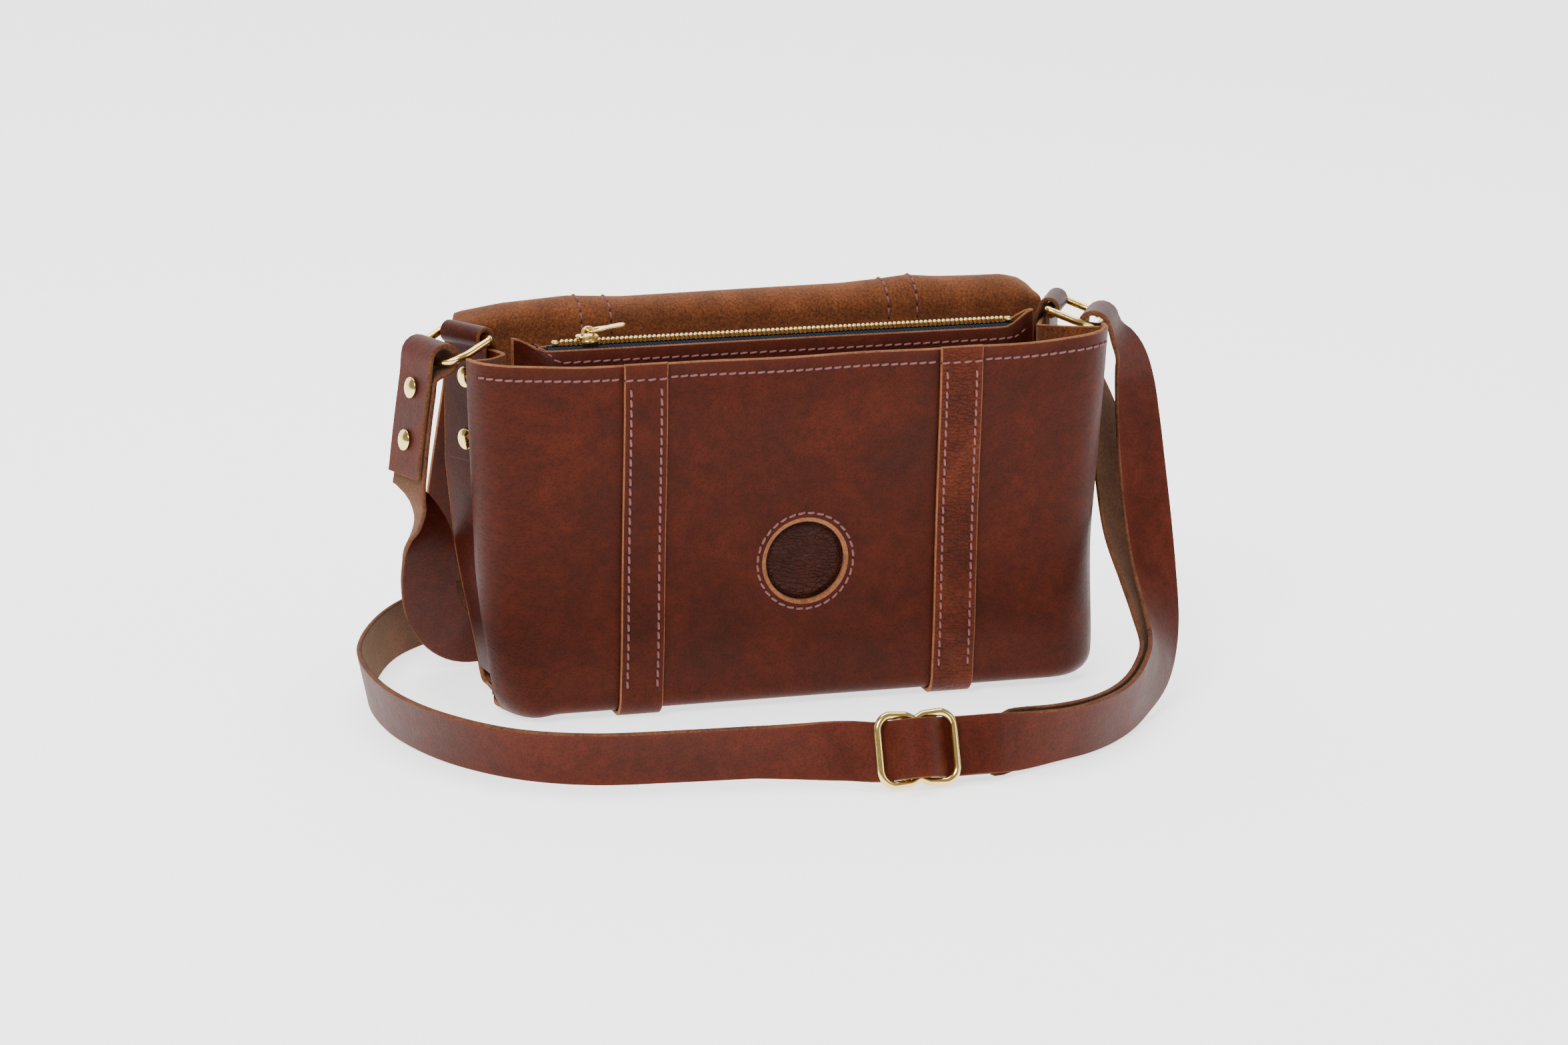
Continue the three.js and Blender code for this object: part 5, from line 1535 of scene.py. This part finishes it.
# Stations are (x, y, z) of the strap's middle and (x, y, z) of the direction across it.
HANG = [
    ((-163, 9.6, 92), (0.15, 0.98, 0)), ((-159.8, 14.5, 86), (0.48, 0.87, 0)),
    ((-156, 21.5, 76.7), (0.75, 0.66, 0)), ((-152.2, 30, 66), (0.93, 0.36, 0.05)),
    ((-150, 40, 50), (0.97, 0.1, 0.2)), ((-145.5, 50, 33.5), (0.87, -0.15, 0.45)),
    ((-137, 58.3, 20.5), (0.6, -0.25, 0.76)), ((-129, 63.2, 15.6), (0.3, -0.15, 0.95)),
    ((-123.5, 65.2, 14.6), (0.2, -0.08, 0.98)),
]
FLOOR = [
    ((-120, 66.5, 14.3), (0.18, -0.08, 0.98)), ((-102, 73, 13.3), (0.05, 0, 1)),
    ((-82, 81, 13), (0, 0, 1)), ((-68, 93, 13), (0, 0, 1)), ((-66, 108, 13), (0, 0, 1)),
    ((-77, 121, 13), (0, 0, 1)), ((-96, 126, 13), (0, 0, 1)), ((-116, 122, 13), (0, 0, 1)),
    ((-135, 110, 13), (0, 0, 1)), ((-153, 91, 13), (0, 0, 1)), ((-171, 58, 13), (-0.1, 0, 1)),
    ((-184, 18, 13), (-0.2, 0, 1)), ((-187, -22, 13), (-0.25, 0, 1)),
    ((-183, -56, 13), (-0.28, -0.1, 1)), ((-170, -92, 13), (-0.25, -0.2, 1)),
    ((-148, -121, 13), (-0.2, -0.28, 1)), ((-120, -136, 13), (-0.1, -0.3, 1)),
    ((-82, -142, 13), (0, -0.3, 1)), ((-51, -145.4, 13.2), (0, -0.28, 1)),
]
RISE = [
    ((59.6, -162.2, 14.3), (0, 0.03, 1)), ((80, -155.5, 13.4), (0, -0.26, 1)),
    ((100, -145.5, 13.2), (0, -0.28, 1)), ((120, -128.5, 13.6), (-0.05, -0.28, 0.96)),
    ((138, -106, 16), (-0.2, -0.3, 0.93)), ((153, -84, 23), (-0.5, -0.35, 0.79)),
    ((161.5, -62, 37), (-0.8, -0.38, 0.46)), ((165.3, -41, 58), (-0.93, -0.32, 0.14)),
    ((168, -25, 79), (-0.95, -0.3, 0)), ((169.4, -14, 98), (-0.95, -0.31, 0)),
    ((170.3, -5, 117.6), (-0.92, -0.39, 0)), ((170.3, 0, 131.6), (-0.87, -0.49, 0)),
    ((168.2, 1.6, 143), (-0.76, -0.65, 0)),
]
RETURN = [
    ((152.5, 9, 134), (-0.55, -0.83, 0)), ((155.5, 4, 120), (-0.72, -0.69, 0)),
    ((158.5, -5, 98), (-0.86, -0.51, 0)), ((158.5, -23, 67), (-0.9, -0.42, 0.1)),
    ((158.3, -45, 47), (-0.88, -0.38, 0.3)), ((156, -62, 34), (-0.75, -0.37, 0.52)),
]


def close_behind_rise():
    """Return layer lying against the back of the rising layer, from the side to the slider."""
    rows = []
    for k, gap in ((5, 4.0), (4, 3.5), (3, 3.5), (2, 3.6), (1, 4.6), (0, 6.6)):
        place, across = np.array(RISE[k][0], float), np.array(RISE[k][1], float)
        along = np.array(RISE[k + 1][0], float) - np.array(RISE[max(k - 1, 0)][0], float)
        rows.append((tuple(place - unit(np.cross(along, across)) * gap), tuple(across)))
    return rows


def strap_stations():
    """Stations of the strap, part by part in order."""
    end, ring, slider = end_frame(), ring_frame(1), slider_frame()
    end_across = tuple(end.to_3x3() @ Vector((0, 0, 1)))
    loop_across = tuple(ring.to_3x3() @ Vector((0, 0, 1)))
    up = tuple(slider.to_3x3() @ Vector((0, 0, 1)))

    def at(frame_, u, z):
        return tuple(frame_ @ Vector((u, z, 0)))

    parts = {}
    parts["end"] = [(at(end, u, z), end_across) for u, z in END_PROFILE]
    parts["hang"] = [(at(end, u, z), end_across) for u, z in ((8.3, 103.6), (8.6, 98.5))] + HANG
    parts["floor"] = FLOOR
    parts["weave_left"] = [
        ((-49.6, -145.7, 13.2), (0, -0.28, 1)), ((-30, -151, 13.6), (0, -0.1, 1)),
        ((-15, -158.5, 14.8), (0, 0.2, 1)),
    ]
    middle = [(-16.8, BEHIND_BAR), (-13, BEHIND_BAR - 0.9), (-8.5, -1.5), (-4, 0.5 - OVER_FOLD)]
    middle += [(0, -OVER_FOLD), (4, 0.5 - OVER_FOLD), (8.5, -1.5), (13, BEHIND_BAR - 0.9)]
    middle += [(16.8, BEHIND_BAR)]
    parts["weave"] = [(at(slider, u, y), up) for u, y in middle]
    parts["weave_right"] = [(at(slider, 34, BEHIND_BAR - 0.4), up), ((58, -162.5, 14.4), (0, 0.05, 1))]
    parts["rise"] = RISE + [
        (at(ring, 31, 151.5), (-0.6, -0.8, 0)), (at(ring, 28.6, 155.8), loop_across),
        (at(ring, 27.4, 158.3), loop_across),
    ]
    parts["loop"] = [(at(ring, u, z), loop_across) for u, z in LOOP_PROFILE]
    parts["return_upper"] = [(at(ring, u, z), loop_across) for u, z in ((13.9, 149.6), (14.4, 144.5))]
    parts["return_upper"] += RETURN
    parts["return_lower"] = close_behind_rise()
    parts["return_lower"] += [(at(slider, u, 12.4), up) for u in (43, 36)]
    parts["anchor"] = [(at(slider, u, y), up) for u, y in reversed(ANCHOR_PROFILE)]
    return parts


def build_strap():
    """Strap in one flowing strip, cut where the body that carries it changes."""
    parts = strap_stations()
    stations, first = [], {}
    for name, rows in parts.items():
        first[name] = len(stations)
        for place, across in rows:
            width = ANCHOR_WIDTH if name == "anchor" else STRAP_WIDTH
            stations.append((*place, *across, width))
    kept, new_index = [], {}
    for k, row in enumerate(stations):
        if kept and math.dist(row[:3], kept[-1][:3]) < 0.9:
            new_index[k] = len(kept) - 1
            continue
        new_index[k] = len(kept)
        kept.append(row)
    p = np.asarray(kept)
    p[:, 3:6] = unit(p[:, 3:6])
    p = with_ends(p)
    rows, row_of = [], []
    for i in range(1, len(p) - 2):
        four = p[i - 1:i + 3]
        knots = spline_knots(four[:, :3])
        row_of.append(len(rows))
        count = max(int(round(math.dist(four[1][:3], four[2][:3]) / STRAP_STEP)), 1)
        for t in np.linspace(knots[1], knots[2], count, endpoint=False):
            rows.append(spline_at(four, knots, t))
    row_of.append(len(rows))
    rows.append(p[-2])
    rows = np.asarray(rows)
    along = unit(np.gradient(rows[:, :3], axis=0))
    across = rows[:, 3:6] - along * np.sum(rows[:, 3:6] * along, axis=1, keepdims=True)
    across = unit(across)
    normals = unit(np.cross(along, across))
    fractions = [-1, -0.965, -0.9, -0.75, -0.4, 0, 0.4, 0.75, 0.9, 0.965, 1]
    run = lengths(rows[:, :3])
    grid = []
    for k, row in enumerate(rows):
        half = row[6] / 2
        wave = 0.12 * ripple(run[k] * 2.2, 0, 12.0)
        grid.append([row[:3] + across[k] * (half * f + wave) for f in fractions])
    grid = np.asarray(grid)
    grid_normals = np.repeat(normals[:, None, :], len(fractions), axis=1)

    def cut(name):
        return row_of[new_index[first[name]]]

    order = list(parts)
    borders = [cut(name) for name in order] + [len(rows) - 1]
    stretch = {name: (borders[k], borders[k + 1]) for k, name in enumerate(order)}
    joins = {
        "end": ("d_ring_left", ["strap_end"]), "floor": ("bag", ["strap_floor"]),
        "weave": ("strap_slider", ["strap_weave"]), "loop": ("d_ring_right", ["strap_loop"]),
        "anchor": ("strap_slider", ["strap_anchor"]),
    }
    bends = {
        "hang": ("d_ring_left", "bag", (-160, 10, 100), (-137, 57, 24), ["strap_hang"]),
        "weave_left": ("bag", "strap_slider", (-46, -150, 14), (-8, -152, 14), []),
        "weave_right": ("strap_slider", "bag", (32, -162, 14), (56, -162, 14), []),
        "rise": ("bag", "d_ring_right", (162, -60, 40), (169, 0, 138), ["strap_rise"]),
        "return_upper": ("d_ring_right", "bag", (153, 8, 138), (156, -50, 42), ["strap_return"]),
        "return_lower": ("bag", "strap_slider", (130, -140, 14), (58, -150, 14), []),
    }
    for k, name in enumerate(order):
        i0, i1 = stretch[name]
        ends = (int(k == 0), int(k == len(order) - 1), 1, 1)
        # The strap's flesh side takes the darker suede copy, which is painted shade.
        piece = shell(
            f"strap_{name}_leather", grid[i0:i1 + 1], LEATHER, [GRAIN_STRAP, SUEDE_PAINTED_SHADE, EDGE_DARK],
            ends, seed=33, normals=grid_normals[i0:i1 + 1], start=run[i0],
        )
        if name in joins:
            body, nodes = joins[name]
            finish_piece(piece, body, "grain", *nodes)
        else:
            low, high, start, stop, nodes = bends[name]
            finish_bend(piece, low, high, start, stop, "grain", *nodes)
    build_strap_metal()


def build_strap_metal():
    """Rivets of the strap's two ends, and the two-loop slider with its middle bar."""
    end, slider = end_frame(), slider_frame()
    outwards = unit((-37.3, -5.2, 0))  # square to the folded end between its two rivets
    for (u, z), level in zip(END_RIVETS, ("upper", "lower")):
        node = f"strap_rivet_{level}"
        way = end.to_3x3() @ Vector(outwards)
        rivet(node + "_caps", end @ Vector((u, z, 0)), way, 6.6, "d_ring_left", node)
    node = "strap_rivet_anchor"
    way = slider.to_3x3() @ Vector((0, 1, 0))
    rivet(node + "_caps", slider @ Vector((29, 11, 0)), way, 6.1, "strap_slider", node)
    half_x, half_z, r, dip = 16.8, 14.8, 6.5, 2.6
    outline = arc(half_x - r, half_z - r, r, 80, 0, 12) + arc(half_x - r, r - half_z, r, 0, -80, 12)
    waist = [(4, 0.6), (2, 1.6), (0, dip), (-2, 1.6), (-4, 0.6)]
    outline += [(x, z - half_z) for x, z in waist]
    outline += arc(r - half_x, r - half_z, r, 260, 180, 12)
    outline += arc(r - half_x, half_z - r, r, 180, 100, 12)
    outline += [(-x, half_z - z) for x, z in waist]
    points = [tuple(slider @ Vector((x, 0, z))) for x, z in outline]
    loop = wire("slider_loop", points, WIRE, GOLD, count=220)
    ends = [slider @ Vector((0, 0, s * (half_z - dip))) for s in (-1, 1)]
    long = 2 * (half_z - dip)
    profile = [(0, 0), (WIRE, 0), (WIRE, long), (0, long)]
    bar = lathe("slider_bar", profile, 20, aimed(ends[0], ends[1] - ends[0]), GOLD)
    piece = combine("strap_slider_wire", [loop, bar])
    finish_piece(piece, "strap_slider", "brass", "strap_slider")


# ---------------------------------------------------------------- build

seam_line, seam_way = build_wrap()
build_bands()
build_front_stitches()
build_magnet()
build_gussets()
build_tabs()
build_rings()
build_pouch()
build_slider()
build_flap(seam_line, seam_way)
build_strap()

# ---------------------------------------------------------------- studio

AZIMUTH = math.radians(-16.9)
ELEVATION = math.radians(13.81)
ROLL_TURN = math.radians(0.42)
CAMERA_PLACE = (-638.40, -2115.99, 618.49)
LENS = 116.69
SENSOR = 36.0


def build_camera():
    """Camera in front of the bag, a little to its left, above it and slightly rolled."""
    back = Vector((
        math.sin(AZIMUTH) * math.cos(ELEVATION),
        -math.cos(AZIMUTH) * math.cos(ELEVATION),
        math.sin(ELEVATION),
    ))
    level = Vector((math.cos(AZIMUTH), math.sin(AZIMUTH), 0))
    over = back.cross(level)
    right = math.cos(ROLL_TURN) * level + math.sin(ROLL_TURN) * over
    up = -math.sin(ROLL_TURN) * level + math.cos(ROLL_TURN) * over
    data = bpy.data.cameras.new("camera")
    data.lens = LENS
    data.sensor_width = SENSOR
    data.clip_end = 50.0
    camera = add_object("camera", data)
    camera.matrix_world = matrix_of((right, up, back), (Vector(CAMERA_PLACE) + Vector(SHIFT)) * MM)
    bpy.context.scene.camera = camera


def build_floor():
    """Plain pale sweep: floor in front, turning up into a backdrop far behind."""
    far, sweep, half_width, drop = 2500, 1500, 6000, 0.5
    profile = [(-4000, -drop), (far, -drop)]
    profile += [(far + y, z) for y, z in arc(0, sweep, sweep, -80, 0, 8)]
    profile += [(far + sweep, 5000)]
    points = [(x, y, z) for y, z in profile for x in (-half_width, half_width)]
    faces = [(2 * k, 2 * k + 1, 2 * k + 3, 2 * k + 2) for k in range(len(profile) - 1)]
    n = Nodes("floor")
    n.plain(Roughness=0.75, Specular_IOR_Level=0.2)
    n.shader.inputs["Base Color"].default_value = (0.93, 0.93, 0.93, 1)
    n.shader.inputs["Emission Color"].default_value = (1, 1, 1, 1)
    n.shader.inputs["Emission Strength"].default_value = 1.6
    new_mesh("floor", points, faces, [n.material])


def area_light(name, place, target, size, power):
    """White area light at a place, turned to a target; places and sizes in metres."""
    data = bpy.data.lights.new(name, "AREA")
    data.shape = "RECTANGLE"
    data.size, data.size_y = size
    data.energy = power
    light = add_object(name, data)
    way = Vector(target) - Vector(place)
    light.rotation_euler = way.to_track_quat("-Z", "Y").to_euler()
    light.location = place


def build_light():
    world = bpy.data.worlds.new("studio")
    bpy.context.scene.world = world
    world.use_nodes = True
    sky = world.node_tree.nodes["Background"]
    sky.inputs[0].default_value = (1, 1, 1, 1)
    sky.inputs[1].default_value = 0.35
    area_light("key", (-1.3, -1.7, 2.0), (0, 0, 0.08), (1.5, 1.1), 70)
    area_light("fill", (1.8, -1.6, 1.0), (0, 0, 0.08), (1.4, 1.4), 14)
    area_light("over", (0.1, 0.5, 2.3), (0, 0.05, 0.1), (2.2, 1.4), 52)


build_camera()
build_floor()
build_light()
